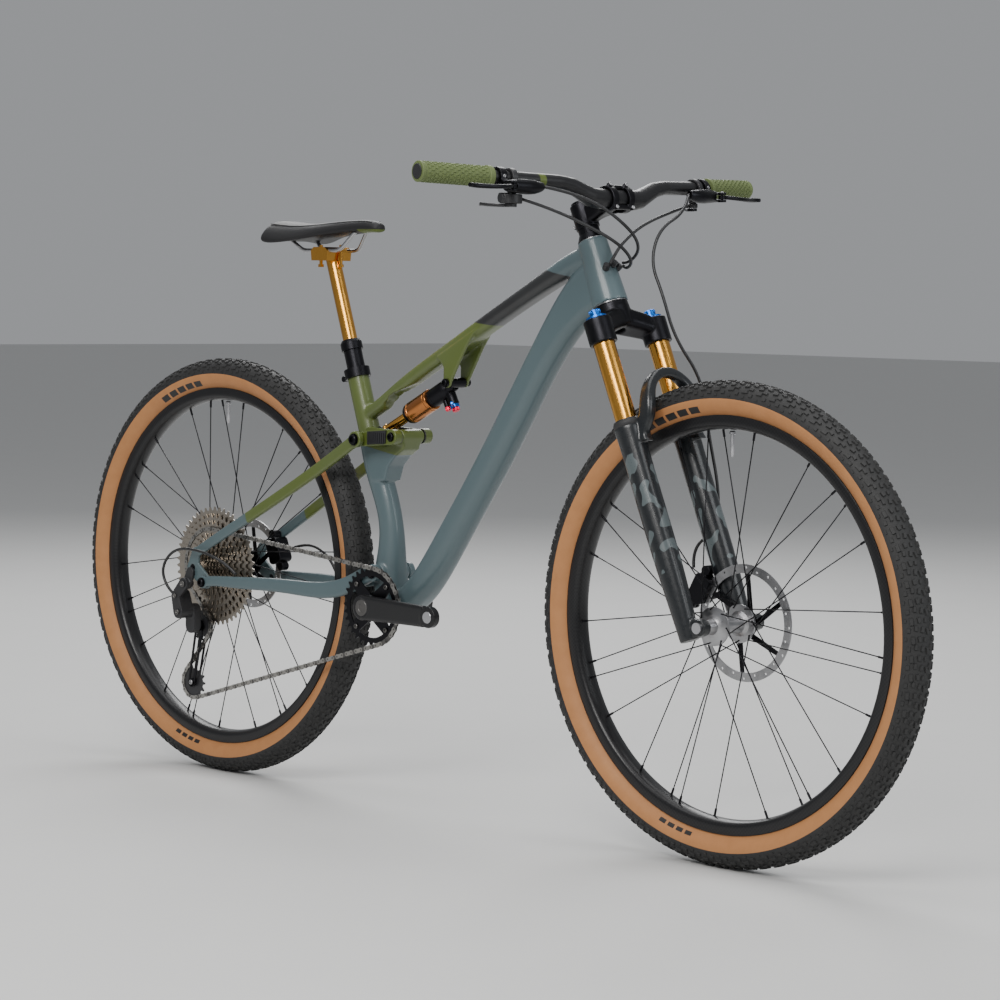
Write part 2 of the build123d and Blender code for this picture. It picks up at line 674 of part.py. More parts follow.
def leg_clearance():
    """Room round the left leg for the caliper beside it."""
    return bar(steer(-20, LEG_OFFSET, LEG_Y), steer(200, LEG_OFFSET, LEG_Y), LEG_R)


def fork_arch():
    """The arch over the tyre, from leg to leg."""
    half = [(300, 41, 62, 14, 10), (335, 54, 58, 13, 9), (372, 62, 47, 11, 9), (394, 64, 25, 9, 8)]
    right = [steer(along, ahead, -y) + (deep, high) for along, ahead, y, deep, high in half]
    left = [steer(along, ahead, y) + (deep, high) for along, ahead, y, deep, high in reversed(half)]
    return cross_loft(right + [steer(400, 65, 0) + (8.5, 8)] + left, STEER_AHEAD)


def front_axle():
    shank = cross_bar((FRONT_X, WHEEL_R), -73, 73, AXLE_R)
    head = cross_bar((FRONT_X, WHEEL_R), -76, -72, 8.5)
    end = cross_bar((FRONT_X, WHEEL_R), 72, 75, 8.0)
    return join(shank, head, end)


def caliper_ears(centre, out_x, out_z):
    """The side-view places of a caliper's two mounting ears."""
    out = Vector(out_x, 0, out_z).normalized()
    along = Vector(-out.Z, 0, out.X)
    middle = Vector(centre[0], 0, centre[1]) + out * EAR_OUT
    return [((middle + along * shift).X, (middle + along * shift).Z) for shift in (-EAR_REACH, EAR_REACH)]


def caliper(centre, y, out_x, out_z):
    """A caliper about a rotor at the given Y: its mouth faces the axle, its slim side the wheel."""
    out = Vector(out_x, 0, out_z).normalized()
    along = Vector(-out.Z, 0, out.X)
    place = Vector(centre[0], y, centre[1])
    plane = Plane(place, x_dir=along, z_dir=(0, 1, 0))
    outline = plane.offset(-CALIPER_IN) * RectangleRounded(46, 30, 8)
    body = Solid.extrude(Face(outline.wire()), Vector(0, CALIPER_IN + CALIPER_OUT, 0))
    ears = [cross_bar(ear, y - 8, y + 8, 8) for ear in caliper_ears(centre, out_x, out_z)]
    mouth = Plane(place - out * 8, x_dir=along, z_dir=(0, 1, 0)).offset(-MOUTH_HALF)
    slot = Solid.extrude(Face((mouth * Rectangle(70, 34)).wire()), Vector(0, 2 * MOUTH_HALF, 0))
    return join(body, *ears).cut(slot)


# ---------------------------------------------------------------- cockpit

BAR_CENTRE = steer((STEM_LOW + STEM_TOP) / 2, STEM_REACH)
BAR_BEND = (328.0, 120.0, 1034.0)
BAR_END = (283.0, BAR_HALF, 1041.0)


def bar_point(side, y):
    """A point on the bar's straight outer stretch at the distance y from the middle plane."""
    share = (y - BAR_BEND[1]) / (BAR_END[1] - BAR_BEND[1])
    x = BAR_BEND[0] + share * (BAR_END[0] - BAR_BEND[0])
    return Vector(x, side * y, BAR_BEND[2] + share * (BAR_END[2] - BAR_BEND[2]))


def bar_directions(side):
    """Outward, forward and upward unit directions at a grip."""
    out = (bar_point(side, 300) - bar_point(side, 200)).normalized()
    ahead = Vector(1, 0, 0)
    ahead = (ahead - out * ahead.dot(out)).normalized()
    up = out.cross(ahead) * -side
    return out, ahead, up


def at_bar(side, y, ahead=0.0, up=0.0):
    """A point beside the bar, given in its own directions."""
    out, forward, upward = bar_directions(side)
    return tuple(bar_point(side, y) + forward * ahead + upward * up)


def headset_spacers():
    """Upper bearing cover, spacer and the cap over the stem."""
    cover = cone(steer(HEAD_TOP + 0.4), steer(HEAD_TOP + 10), 22.5, 18.0)
    spacer = bar(steer(HEAD_TOP + 10), steer(STEM_LOW), 17.0)
    cap = join(bar(steer(STEM_TOP), steer(STEM_TOP + 4), 16.0),
               bar(steer(STEM_TOP + 3), steer(STEM_TOP + 6), 5.0))
    bore = bar(steer(HEAD_TOP - 5), steer(STEM_LOW + 2), STEERER_R)
    return [join(cover, spacer).cut(bore), cap]


def clamp_bands():
    """The two round bands about the bar, cut apart into stem jaws and faceplate."""
    bands = []
    for low in (-25, 12):
        start = Vector(*BAR_CENTRE) + Vector(0, low, 0)
        bands.append(bar(tuple(start), tuple(start + Vector(0, 13, 0)), 21))
    return bands


def bar_bore():
    """The bore for the bar, through both halves of its clamp."""
    centre = Vector(*BAR_CENTRE)
    return bar(tuple(centre - Vector(0, 60, 0)), tuple(centre + Vector(0, 60, 0)), BAR_CLAMP_R)


def clamp_side(ahead):
    """The space on one side of the clamp's parting plane, as far as the given reach."""
    near = STEM_REACH + 0.5
    outline = [steer(640, near)[::2], steer(640, ahead)[::2], steer(740, ahead)[::2], steer(740, near)[::2]]
    return slab(outline, -60, 60)


def stem():
    """Steerer clamp, body and rear half of the bar clamp."""
    clamp = bar(steer(STEM_LOW), steer(STEM_TOP), 19.0)
    body = tube([steer(687, 6) + (17, 15), steer(687, 30) + (15, 13), steer(687, STEM_REACH - 14) + (17, 22)],
                corner=0.6)
    bolts = [bar(steer(677 + 20 * k, -19, -8), steer(677 + 20 * k, -19, 8), 4.0) for k in (0, 1)]
    steerer_bore = bar(steer(STEM_LOW - 5), steer(STEM_TOP + 5), STEERER_R)
    solid = join(clamp, body, *clamp_bands(), *bolts)
    return solid.cut(clamp_side(120), steerer_bore, bar_bore())


def stem_faceplate():
    """Front half of the bar clamp: two bands joined by posts, held by four bolts."""
    posts = [bar(steer(687 + rise, STEM_REACH + 8, -20), steer(687 + rise, STEM_REACH + 8, 20), 4.5)
             for rise in (-16, 16)]
    heads = [bar(steer(687 + rise, STEM_REACH + 10, y), steer(687 + rise, STEM_REACH + 15, y), 4.0)
             for rise in (-19, 19) for y in (-18.5, 18.5)]
    return join(*clamp_bands(), *posts, *heads).cut(clamp_side(0), bar_bore())


def handlebar():
    """Riser bar, thick at the clamp and swept back at the ends."""
    x, _, z = BAR_CENTRE
    halves = []
    for side in (-1, 1):
        end = tuple(bar_point(side, BAR_HALF - 4)) + (BAR_R,)
        bend = tuple(bar_point(side, 122)) + (BAR_R,)
        halves.append([end, bend, (x - 4.5, side * 96, z + 18, 12.4), (x - 2.5, side * 74, z + 9, 13.8),
                       (x - 0.6, side * 56, z + 2, 15.4), (x, side * 42, z, BAR_CLAMP_R)])
    right, left = halves
    return round_tube(right + left[::-1], ruled=True)


def grips():
    """Two grips with a raised inner collar and a closed end."""
    pair = []
    for side in (-1, 1):
        body = bar(at_bar(side, GRIP_START), at_bar(side, BAR_HALF - 0.7), GRIP_R)
        collar = bar(at_bar(side, GRIP_START), at_bar(side, GRIP_START + 9), GRIP_R + 1.0)
        bore = bar(at_bar(side, GRIP_START - 5), at_bar(side, BAR_HALF - 4), BAR_R)
        pair.append(join(body, collar).cut(bore))
    return pair


# Brake lever: its drop below the bar, and its line as distance along the bar, ahead, below and radius
LEVER_DROP = -14.0
LEVER_LINE = ((238, 42, 0, 3.2), (255, 55, 2, 3.2), (285, 58, 4, 3.4), (315, 54, 4, 3.6), (326, 58, 4, 3.2))


def brake_bodies():
    """Master cylinders with their bar clamps, one on each side."""
    pair = []
    for side in (-1, 1):
        clamp = bar(at_bar(side, 228), at_bar(side, 240), 16.0)
        post = bar(at_bar(side, 234, 6, -4), at_bar(side, 234, 24, -12), 7.0)
        cylinder = round_tube([at_bar(side, 168, 20, -10) + (6.5,), at_bar(side, 180, 23, -12) + (9.5,),
                               at_bar(side, 230, 27, -13) + (9.5,), at_bar(side, 240, 30, -14) + (8.0,)])
        fork = bar(at_bar(side, 236, 40, LEVER_DROP - 8), at_bar(side, 236, 40, LEVER_DROP + 8), 7.0)
        neck = bar(at_bar(side, 234, 26, -13), at_bar(side, 236, 40, LEVER_DROP), 6.5)
        gap = bar(at_bar(side, 236, 40, LEVER_DROP - 3.8), at_bar(side, 236, 40, LEVER_DROP + 3.8), 13.0)
        body = join(clamp, post, cylinder, fork, neck)
        bore = bar(at_bar(side, 210), at_bar(side, 260), BAR_R)
        pin_bore = bar(at_bar(side, 236, 40, LEVER_DROP - 20), at_bar(side, 236, 40, LEVER_DROP + 20), 2.0)
        pair.append(body.cut(bore, gap, pin_bore))
    return pair


def brake_lever(side):
    """Lever blade with its pivot pin."""
    blade = round_tube([at_bar(side, y, ahead, LEVER_DROP - below) + (radius,)
                        for y, ahead, below, radius in LEVER_LINE])
    eye = bar(at_bar(side, 236, 40, LEVER_DROP - 3.3), at_bar(side, 236, 40, LEVER_DROP + 3.3), 6.0)
    pin = bar(at_bar(side, 236, 40, LEVER_DROP - 8), at_bar(side, 236, 40, LEVER_DROP + 8), 2.0 - RUNNING)
    return join(blade, eye, pin)


def control_bodies():
    """Shifter body under the right side of the bar and dropper remote body under the left."""
    shifter = join(bar(at_bar(-1, 208), at_bar(-1, 218), 15.5),
                   bar(at_bar(-1, 213, 2, -12), at_bar(-1, 213, 6, -24), 6.5),
                   bar(at_bar(-1, 207, 6, -30), at_bar(-1, 233, 4, -30), 8.0),
                   bar(at_bar(-1, 214, 6, -24), at_bar(-1, 214, 6, -38), 17.0))
    remote = join(bar(at_bar(1, 208), at_bar(1, 218), 15.5),
                  bar(at_bar(1, 213, 0, -12), at_bar(1, 213, -2, -28), 6.0),
                  bar(at_bar(1, 213, -2, -24), at_bar(1, 213, -2, -31), 9.0))
    cuts = [bar(at_bar(side, 190), at_bar(side, 260), BAR_R) for side in (-1, 1)]
    return [shifter.cut(cuts[0]), remote.cut(cuts[1])]


def shift_lever():
    """Thumb paddle under the shifter body."""
    hub = bar(at_bar(-1, 214, 6, -38.6), at_bar(-1, 214, 6, -43), 9.0)
    paddle = cross_loft([at_bar(-1, 214, 4, -41) + (6, 2.2), at_bar(-1, 234, -14, -41) + (7, 2.2),
                         at_bar(-1, 250, -24, -40) + (8, 2.2)], Vector(1, 0, 0))
    return join(hub, paddle)


def dropper_lever():
    """Thumb paddle of the dropper remote."""
    hub = bar(at_bar(1, 213, -2, -31.5), at_bar(1, 213, -2, -36), 8.0)
    paddle = cross_loft([at_bar(1, 213, -4, -34) + (6, 2.2), at_bar(1, 234, -18, -34) + (7, 2.2),
                         at_bar(1, 248, -28, -33) + (8, 2.2)], Vector(1, 0, 0))
    return join(hub, paddle)


# ---------------------------------------------------------------- wheels

def tyre(centre_x):
    """A hollow tyre: beads inside the rim's hooks, bulging side walls and a round tread."""
    tread_centre = WHEEL_R - TREAD_R
    walls = []
    for inset in (0.0, 2.8):
        bead_y = RIM_HALF - 2.8 - inset
        corners = [(BEAD_R, bead_y), (BEAD_R + 6.5, bead_y), (tread_centre - 3, TYRE_HALF - inset)]
        bulge = (tread_centre - 12.5, TYRE_HALF - 5.0 - inset)
        mirrored = [(radius, -y) for radius, y in corners]
        walls.append([(corners[0], corners[1]), (corners[1], bulge, corners[2]),
                      (corners[2], (WHEEL_R - inset, 0.0), mirrored[2]),
                      (mirrored[2], (bulge[0], -bulge[1]), mirrored[1]), (mirrored[1], mirrored[0])])
    outer, inner = walls
    joins = [(outer[0][0], inner[0][0]), (inner[-1][-1], outer[-1][-1])]
    return wheel_turn(outer + inner + joins, centre_x)


def rim(centre_x):
    """A hollow box rim with hooked edges and a valve at the top."""
    half, base, bed = RIM_HALF, 305.0, 295.0
    outer = [(RIM_R, half), (base, half), (bed, 8.5), (bed, -8.5), (base, -half), (RIM_R, -half),
             (RIM_R, -half + 2.5), (311.0, -half + 2.5), (309.0, -8.0), (309.0, 8.0),
             (311.0, half - 2.5), (RIM_R, half - 2.5)]
    cavity = [(306.5, half - 2.6), (304.8, half - 1.8), (297.5, 7.4), (297.5, -7.4), (304.8, -half + 1.8),
              (306.5, -half + 2.6)]
    ring = wheel_turn(path_pairs(outer), centre_x).cut(wheel_turn(path_pairs(cavity), centre_x))
    stem_hole = bar((centre_x, 0, WHEEL_R + 290), (centre_x, 0, WHEEL_R + 316), 3.0)
    valve = join(bar((centre_x, 0, WHEEL_R + 258), (centre_x, 0, WHEEL_R + 309), 3.0),
                 bar((centre_x, 0, WHEEL_R + 290), (centre_x, 0, WHEEL_R + 294.6), 5.0),
                 bar((centre_x, 0, WHEEL_R + 254), (centre_x, 0, WHEEL_R + 262), 2.2))
    return [ring.cut(stem_hole), valve]


def spokes(centre_x, flanges):
    """Crossed tangential spokes; the leading and trailing sets pass on either side of their flange."""
    wires = []
    step = 2 * pi / SPOKES_PER_SIDE
    for flange_index, flange_y in enumerate(flanges):
        for number in range(SPOKES_PER_SIDE):
            lead = 1 if number % 2 else -1
            hub_angle = step * number + flange_index * step / 2
            rim_angle = hub_angle + lead * radians(62.0) - lead * step / 4
            y = flange_y + lead * 2.3
            start = (centre_x + HUB_FLANGE_R * cos(hub_angle), y, WHEEL_R + HUB_FLANGE_R * sin(hub_angle))
            end_y = 3.0 if flange_y > 0 else -3.0
            end = (centre_x + SPOKE_RIM_R * cos(rim_angle), end_y, WHEEL_R + SPOKE_RIM_R * sin(rim_angle))
            wires.append(bar(start, end, SPOKE_R))
    return wires


def hub(centre_x, low_y, high_y, flanges):
    """Hub shell with flanges and end caps, bored to turn on the axle."""
    place = (centre_x, WHEEL_R)
    shell = cross_bar(place, flanges[0], flanges[1], 13.0)
    discs = [cross_bar(place, y - 1.2, y + 1.2, HUB_FLANGE_R + 4.5) for y in flanges]
    ends = [cross_bar(place, low_y, flanges[0], 9.5), cross_bar(place, flanges[1], high_y, 9.5)]
    return join(shell, *discs, *ends).cut(cross_bar(place, -95, 95, AXLE_R + RUNNING))


def rotor(centre_x, y, radius, hub_r=9.5):
    """Brake rotor: a waved ring on six slanted arms with a splined carrier."""
    place = (centre_x, WHEEL_R)
    ring = cross_bar(place, y - 0.9, y + 0.9, radius).cut(cross_bar(place, y - 2, y + 2, radius - 14))
    carrier = cross_bar(place, y - 2.0, y + 2.0, 23.0)
    arms = []
    for number in range(6):
        angle = number * pi / 3
        lean = angle + radians(28)
        inner = (centre_x + 20 * cos(angle), WHEEL_R + 20 * sin(angle))
        outer = (centre_x + (radius - 10) * cos(lean), WHEEL_R + (radius - 10) * sin(lean))
        arms.append(link_slab(inner, 4.5, outer, 3.5, y - 0.9, y + 0.9))
    holes = []
    count = 24
    for number in range(count):
        angle = 2 * pi * number / count
        reach = radius - 5 - 4 * (number % 2)
        spot = (centre_x + reach * cos(angle), WHEEL_R + reach * sin(angle))
        holes.append(cross_bar(spot, y - 2, y + 2, 2.0))
    return join(ring, carrier, *arms).cut(*holes, cross_bar(place, y - 5, y + 5, hub_r))


# ---------------------------------------------------------------- drive

def cassette():
    """Twelve sprockets on a freehub body that turns on the axle."""
    place = (REAR_X, WHEEL_R)
    solids = [cross_bar(place, -73.4, -24.0, 16.5)]
    for index, teeth in enumerate(COG_TEETH):
        solids.append(toothed_disc(place, cog_y(index), teeth, 0.8, 12.0))
        if index > 5:
            rib = pitch_radius(COG_TEETH[index - 1]) - 9
            solids.append(pipe(side_point(place, cog_y(index) - COG_STEP), side_point(place, cog_y(index)),
                               rib - 3, rib))
    return join(*solids).cut(cross_bar(place, -90, 0, AXLE_R + RUNNING))


def chainring():
    """Direct-mount chainring with its spider."""
    ring = toothed_disc(BB, RING_Y, RING_TEETH, 1.0, 52.0)
    arms = []
    for number in range(4):
        angle = pi / 4 + number * pi / 2
        outer = (BB[0] + 54 * cos(angle), BB[1] + 54 * sin(angle))
        arms.append(link_slab(BB, 16.0, outer, 9.0, RING_Y - 1, RING_Y + 1))
    boss = cross_bar(BB, RING_Y - 8, RING_Y + 1, 20.0)
    return join(ring, boss, *arms).cut(cross_bar(BB, -90, 0, SPINDLE_R))


def crank_arm(side):
    """One crank arm, bored for the spindle and for its pedal insert."""
    ahead = 1 if side < 0 else -1
    x, z = BB
    eye = (x + ahead * CRANK_LENGTH, z)
    arm = tube([(x, side * 68, z, 21, 7), (x + ahead * 40, side * 70, z, 20, 7.5),
                (x + ahead * 120, side * 77, z, 18, 7), (x + ahead * 158, side * 81, z, 17.5, 6.5)],
               corner=0.6)
    boss = cross_bar(BB, side * 60, side * 74, 21.5)
    end = cross_bar(eye, side * 74.5, side * 87.5, 17.5)
    bores = [cross_bar(eye, side * 60, side * 100, 9.5), cross_bar(BB, -90, 90, SPINDLE_R)]
    return join(arm, boss, end).cut(*bores)


def crank_spindle():
    """The spindle through the bottom bracket, flush with the arms' outer faces."""
    return cross_bar(BB, -74, 74, SPINDLE_R)


def pedal_insert(side):
    """Threaded metal insert at a crank's end."""
    ahead = 1 if side < 0 else -1
    eye = (BB[0] + ahead * CRANK_LENGTH, BB[1])
    return pipe(side_point(eye, side * 74.5), side_point(eye, side * 88), 7.14, 9.5)


def chain_run(first, first_r, second, second_r):
    """Where a straight stretch of chain leaves one sprocket and meets the next, and its direction.

    A negative radius is a sprocket that the chain passes the other way round.
    """
    dx, dz = second[0] - first[0], second[1] - first[1]
    lean = asin((first_r - second_r) / hypot(dx, dz))
    heading = atan2(dz, dx) + lean
    unit = (cos(heading), sin(heading))
    leaves = (first[0] + first_r * unit[1], first[1] - first_r * unit[0])
    meets = (second[0] + second_r * unit[1], second[1] - second_r * unit[0])
    return leaves, meets, unit


def chain_bar(start, start_y, end, end_y):
    """A straight stretch of chain as one bar."""
    a, b = Vector(start[0], start_y, start[1]), Vector(end[0], end_y, end[1])
    plane = Plane(a, x_dir=(0, 1, 0), z_dir=b - a)
    section = plane * Rectangle(2 * CHAIN_HALF_WIDE, 2 * CHAIN_HALF_DEEP)
    return Solid.extrude(Face(section.wire()), b - a)


def chain_wrap(place, radius, y, start, sweep_angle):
    """The chain's two rows of plates round a sprocket, from a start angle in degrees."""
    rows = []
    for side in (-1, 1):
        low = y + side * PLATE_GAP
        high = y + side * CHAIN_HALF_WIDE
        band = cross_bar(place, low, high, radius + CHAIN_HALF_DEEP)
        band = band.cut(cross_bar(place, y - 5, y + 5, radius - CHAIN_HALF_DEEP))
        rows.append(band.intersect(sector(place, radius * 2, y, start, sweep_angle)).solids()[0])
    return rows


def sector(place, radius, y, start, sweep_angle):
    """A pie slice about a sprocket's axle."""
    count = 12
    outline = [place]
    for step in range(count + 1):
        angle = radians(start + sweep_angle * step / count)
        outline.append((place[0] + radius * cos(angle), place[1] + radius * sin(angle)))
    return slab(outline, y - 6, y + 6)


CLEAR_OF_TEETH = 31.0
CHAIN_SPLIT = 20.0
COG_R = pitch_radius(COG_TEETH[CHAIN_COG])
RING_R = pitch_radius(RING_TEETH)
COG_Y = cog_y(CHAIN_COG)
AXLE = (REAR_X, WHEEL_R)


def plate_leads(start, unit, y, first, last):
    """Two rows of plates straight on from a sprocket, between two distances along the run."""
    rows = []
    for side in (-1, 1):
        middle = y + side * (PLATE_GAP + CHAIN_HALF_WIDE) / 2
        a = Vector(start[0] + unit[0] * first, middle, start[1] + unit[1] * first)
        b = Vector(start[0] + unit[0] * last, middle, start[1] + unit[1] * last)
        plane = Plane(a, x_dir=(0, 1, 0), z_dir=b - a)
        section = plane * Rectangle(CHAIN_HALF_WIDE - PLATE_GAP, 2 * CHAIN_HALF_DEEP)
        rows.append(Solid.extrude(Face(section.wire()), b - a))
    return rows


def angle_about(centre, place):
    """The direction from a centre to a place in the side view, in degrees."""
    return degrees(atan2(place[1] - centre[1], place[0] - centre[0]))


def on_run(start, unit, distance):
    return (start[0] + unit[0] * distance, start[1] + unit[1] * distance)


UPPER_R = pitch_radius(PULLEY_TEETH[0])
LOWER_R = pitch_radius(PULLEY_TEETH[1])
TOP_RUN = chain_run(BB, RING_R, AXLE, COG_R)
GUIDE_RUN = chain_run(AXLE, COG_R, UPPER_PULLEY, -UPPER_R)
CAGE_RUN = chain_run(UPPER_PULLEY, -UPPER_R, LOWER_PULLEY, LOWER_R)
BOTTOM_RUN = chain_run(LOWER_PULLEY, LOWER_R, BB, RING_R)


def chain_top():
    """Chain round the front half of the chainring and back to the cassette."""
    ring_point, cog_point, unit = TOP_RUN
    run = hypot(cog_point[0] - ring_point[0], cog_point[1] - ring_point[1])
    start_angle = angle_about(BB, BOTTOM_RUN[1]) + CHAIN_SPLIT + 0.6
    wrap = chain_wrap(BB, RING_R, RING_Y, start_angle, angle_about(BB, ring_point) - start_angle)
    leads = plate_leads(ring_point, unit, RING_Y, 0, CLEAR_OF_TEETH + 1)
    start = on_run(ring_point, unit, CLEAR_OF_TEETH)
    end = on_run(ring_point, unit, run - CLEAR_OF_TEETH - 8)
    return join(chain_bar(start, RING_Y, end, COG_Y), *[join(row, lead) for row, lead in zip(wrap, leads)])


def chain_cassette():
    """Chain round the back of its sprocket and down to the upper pulley."""
    _, cog_point, unit = TOP_RUN
    leaves, meets, down = GUIDE_RUN
    run = hypot(meets[0] - leaves[0], meets[1] - leaves[1])
    top = angle_about(AXLE, cog_point)
    wrap = chain_wrap(AXLE, COG_R, COG_Y, top, angle_about(AXLE, leaves) % 360 - top)
    leads = plate_leads(cog_point, unit, COG_Y, -CLEAR_OF_TEETH, 0)
    tails = plate_leads(leaves, down, COG_Y, 0, run - 1.0)
    return [join(row, lead, tail) for row, lead, tail in zip(wrap, leads, tails)]


def chain_cage():
    """Chain inside the derailleur cage: past the upper pulley, then round the lower one."""
    turn_in, turn_out = GUIDE_RUN[1], CAGE_RUN[0]
    begin = angle_about(UPPER_PULLEY, turn_out)
    upper_sweep = (angle_about(UPPER_PULLEY, turn_in) - begin) % 360
    upper = chain_wrap(UPPER_PULLEY, UPPER_R, COG_Y, begin, upper_sweep)
    run = hypot(CAGE_RUN[1][0] - turn_out[0], CAGE_RUN[1][1] - turn_out[1])
    middle = plate_leads(turn_out, CAGE_RUN[2], COG_Y, 0, run)
    round_in = angle_about(LOWER_PULLEY, CAGE_RUN[1])
    lower = chain_wrap(LOWER_PULLEY, LOWER_R, COG_Y, round_in,
                       (angle_about(LOWER_PULLEY, BOTTOM_RUN[0]) - round_in) % 360)
    tails = plate_leads(BOTTOM_RUN[0], BOTTOM_RUN[2], COG_Y, 0, CLEAR_OF_TEETH - 4)
    return [join(*pieces) for pieces in zip(upper, middle, lower, tails)]


def chain_bottom():
    """Chain from the lower pulley forward to the underside of the chainring."""
    pulley_point, ring_point, unit = BOTTOM_RUN
    back = (-unit[0], -unit[1])
    run = hypot(pulley_point[0] - ring_point[0], pulley_point[1] - ring_point[1])
    leads = plate_leads(ring_point, back, RING_Y, 0, CLEAR_OF_TEETH + 1)
    start = on_run(ring_point, back, CLEAR_OF_TEETH)
    end = on_run(ring_point, back, run - CLEAR_OF_TEETH - 3)
    wrap = chain_wrap(BB, RING_R, RING_Y, angle_about(BB, ring_point), CHAIN_SPLIT)
    return join(chain_bar(start, RING_Y, end, COG_Y), *[join(row, lead) for row, lead in zip(wrap, leads)])


HANGER_BOLT = (-590.0, 341.0)


def derailleur_body():
    """Mount knuckle, parallelogram and the lower knuckle behind the cage."""
    joint = (-612.0, 318.0)
    knuckle = (-604.0, 290.0)
    parts = [cross_bar(HANGER_BOLT, -73.8, -94, 7.0),
             link_slab(HANGER_BOLT, 11.0, joint, 9.5, -86.6, -94),
             link_slab(joint, 10.0, knuckle, 12.0, -66, -94),
             link_slab(knuckle, 13.0, UPPER_PULLEY, 12.0, -50, -66)]
    return join(*parts)


def derailleur_hanger():
    """Replaceable hanger on the outside of the right dropout."""
    plate = link_slab((-581, 362), 9.0, HANGER_BOLT, 10.0, -80.1, -86.5)
    return plate.cut(cross_bar(HANGER_BOLT, -100, -60, 7.0))


def derailleur_cage():
    """Two cage plates joined by the pulley bolts, with the pivot to the derailleur's knuckle."""
    solids = [cross_bar(UPPER_PULLEY, COG_Y - 6.0, -49.7, 9.0)]
    for side in (-1, 1):
        inner = COG_Y + side * 4.6
        outer = COG_Y + side * 6.2
        solids.append(link_slab(UPPER_PULLEY, 11.0, LOWER_PULLEY, 9.0, inner, outer))
    for place in (UPPER_PULLEY, LOWER_PULLEY):
        solids.append(cross_bar(place, COG_Y - 6.2, COG_Y + 6.2, 3.0 - RUNNING))
    return join(*solids)


def pulley(place, teeth):
    """One jockey wheel with its bush."""
    wheel = join(toothed_disc(place, COG_Y, teeth, 0.9, 5.0), cross_bar(place, COG_Y - 3.5, COG_Y + 3.5, 6.0))
    return wheel.cut(cross_bar(place, COG_Y - 5, COG_Y + 5, 3.0))


# ---------------------------------------------------------------- hoses

HOSE_R = 2.5


def steering_hoses():
    """Rear brake hose, gear cable and dropper cable from the bar to the ports in the head tube."""
    rear_brake = hose([at_bar(-1, 166.4, 20, -10), (374, -110, 1014), (401, -45, 970), (388, 2, 938),
                       (352, 19, 914), steer(595.5, 34.3, 15)], HOSE_R)
    gear = hose([at_bar(-1, 195.8, 6, -30), (346, -150, 992), (388, -58, 948), (380, -6, 918),
                 (352, 11, 903), steer(590, 34.3, 15)], HOSE_R)
    dropper = hose([at_bar(1, 202.4, -2, -28), (350, 130, 1000), (344, 55, 975), (341, 10, 944),
                    (340, -8, 922), steer(592.5, 34.3, -15)], HOSE_R)
    return [rear_brake, gear, dropper]


def front_brake_hose():
    """Front brake hose round the crown, down the outside of the left leg and back to the caliper."""
    return hose([at_bar(1, 165.4, 20, -10), (378, 118, 996), (372, 62, 968), (370, 46, 915), (398, 44, 866),
                 (418, 50, 800), (446, 86, 735), (454, 92, 660), (484, 92, 550), (472, 88, 498),
                 (456, 60, 474), (470, 47, 446)], HOSE_R)


def rear_hoses():
    """Rear brake hose from the left chainstay to the caliper, and the gear cable's loop."""
    brake = hose([(-352, 56, 369), (-366, 57, 392), (-410, 60, 414), (-455, 62, 412), (-482, 60, 402)],
                 HOSE_R)
    gear = hose([(-470, -74, 366), (-488, -80, 384), (-540, -94, 404), (-612, -94, 404), (-654, -90, 368),
                 (-644, -89, 334), (-625, -88, 322)], HOSE_R)
    return [brake, gear]


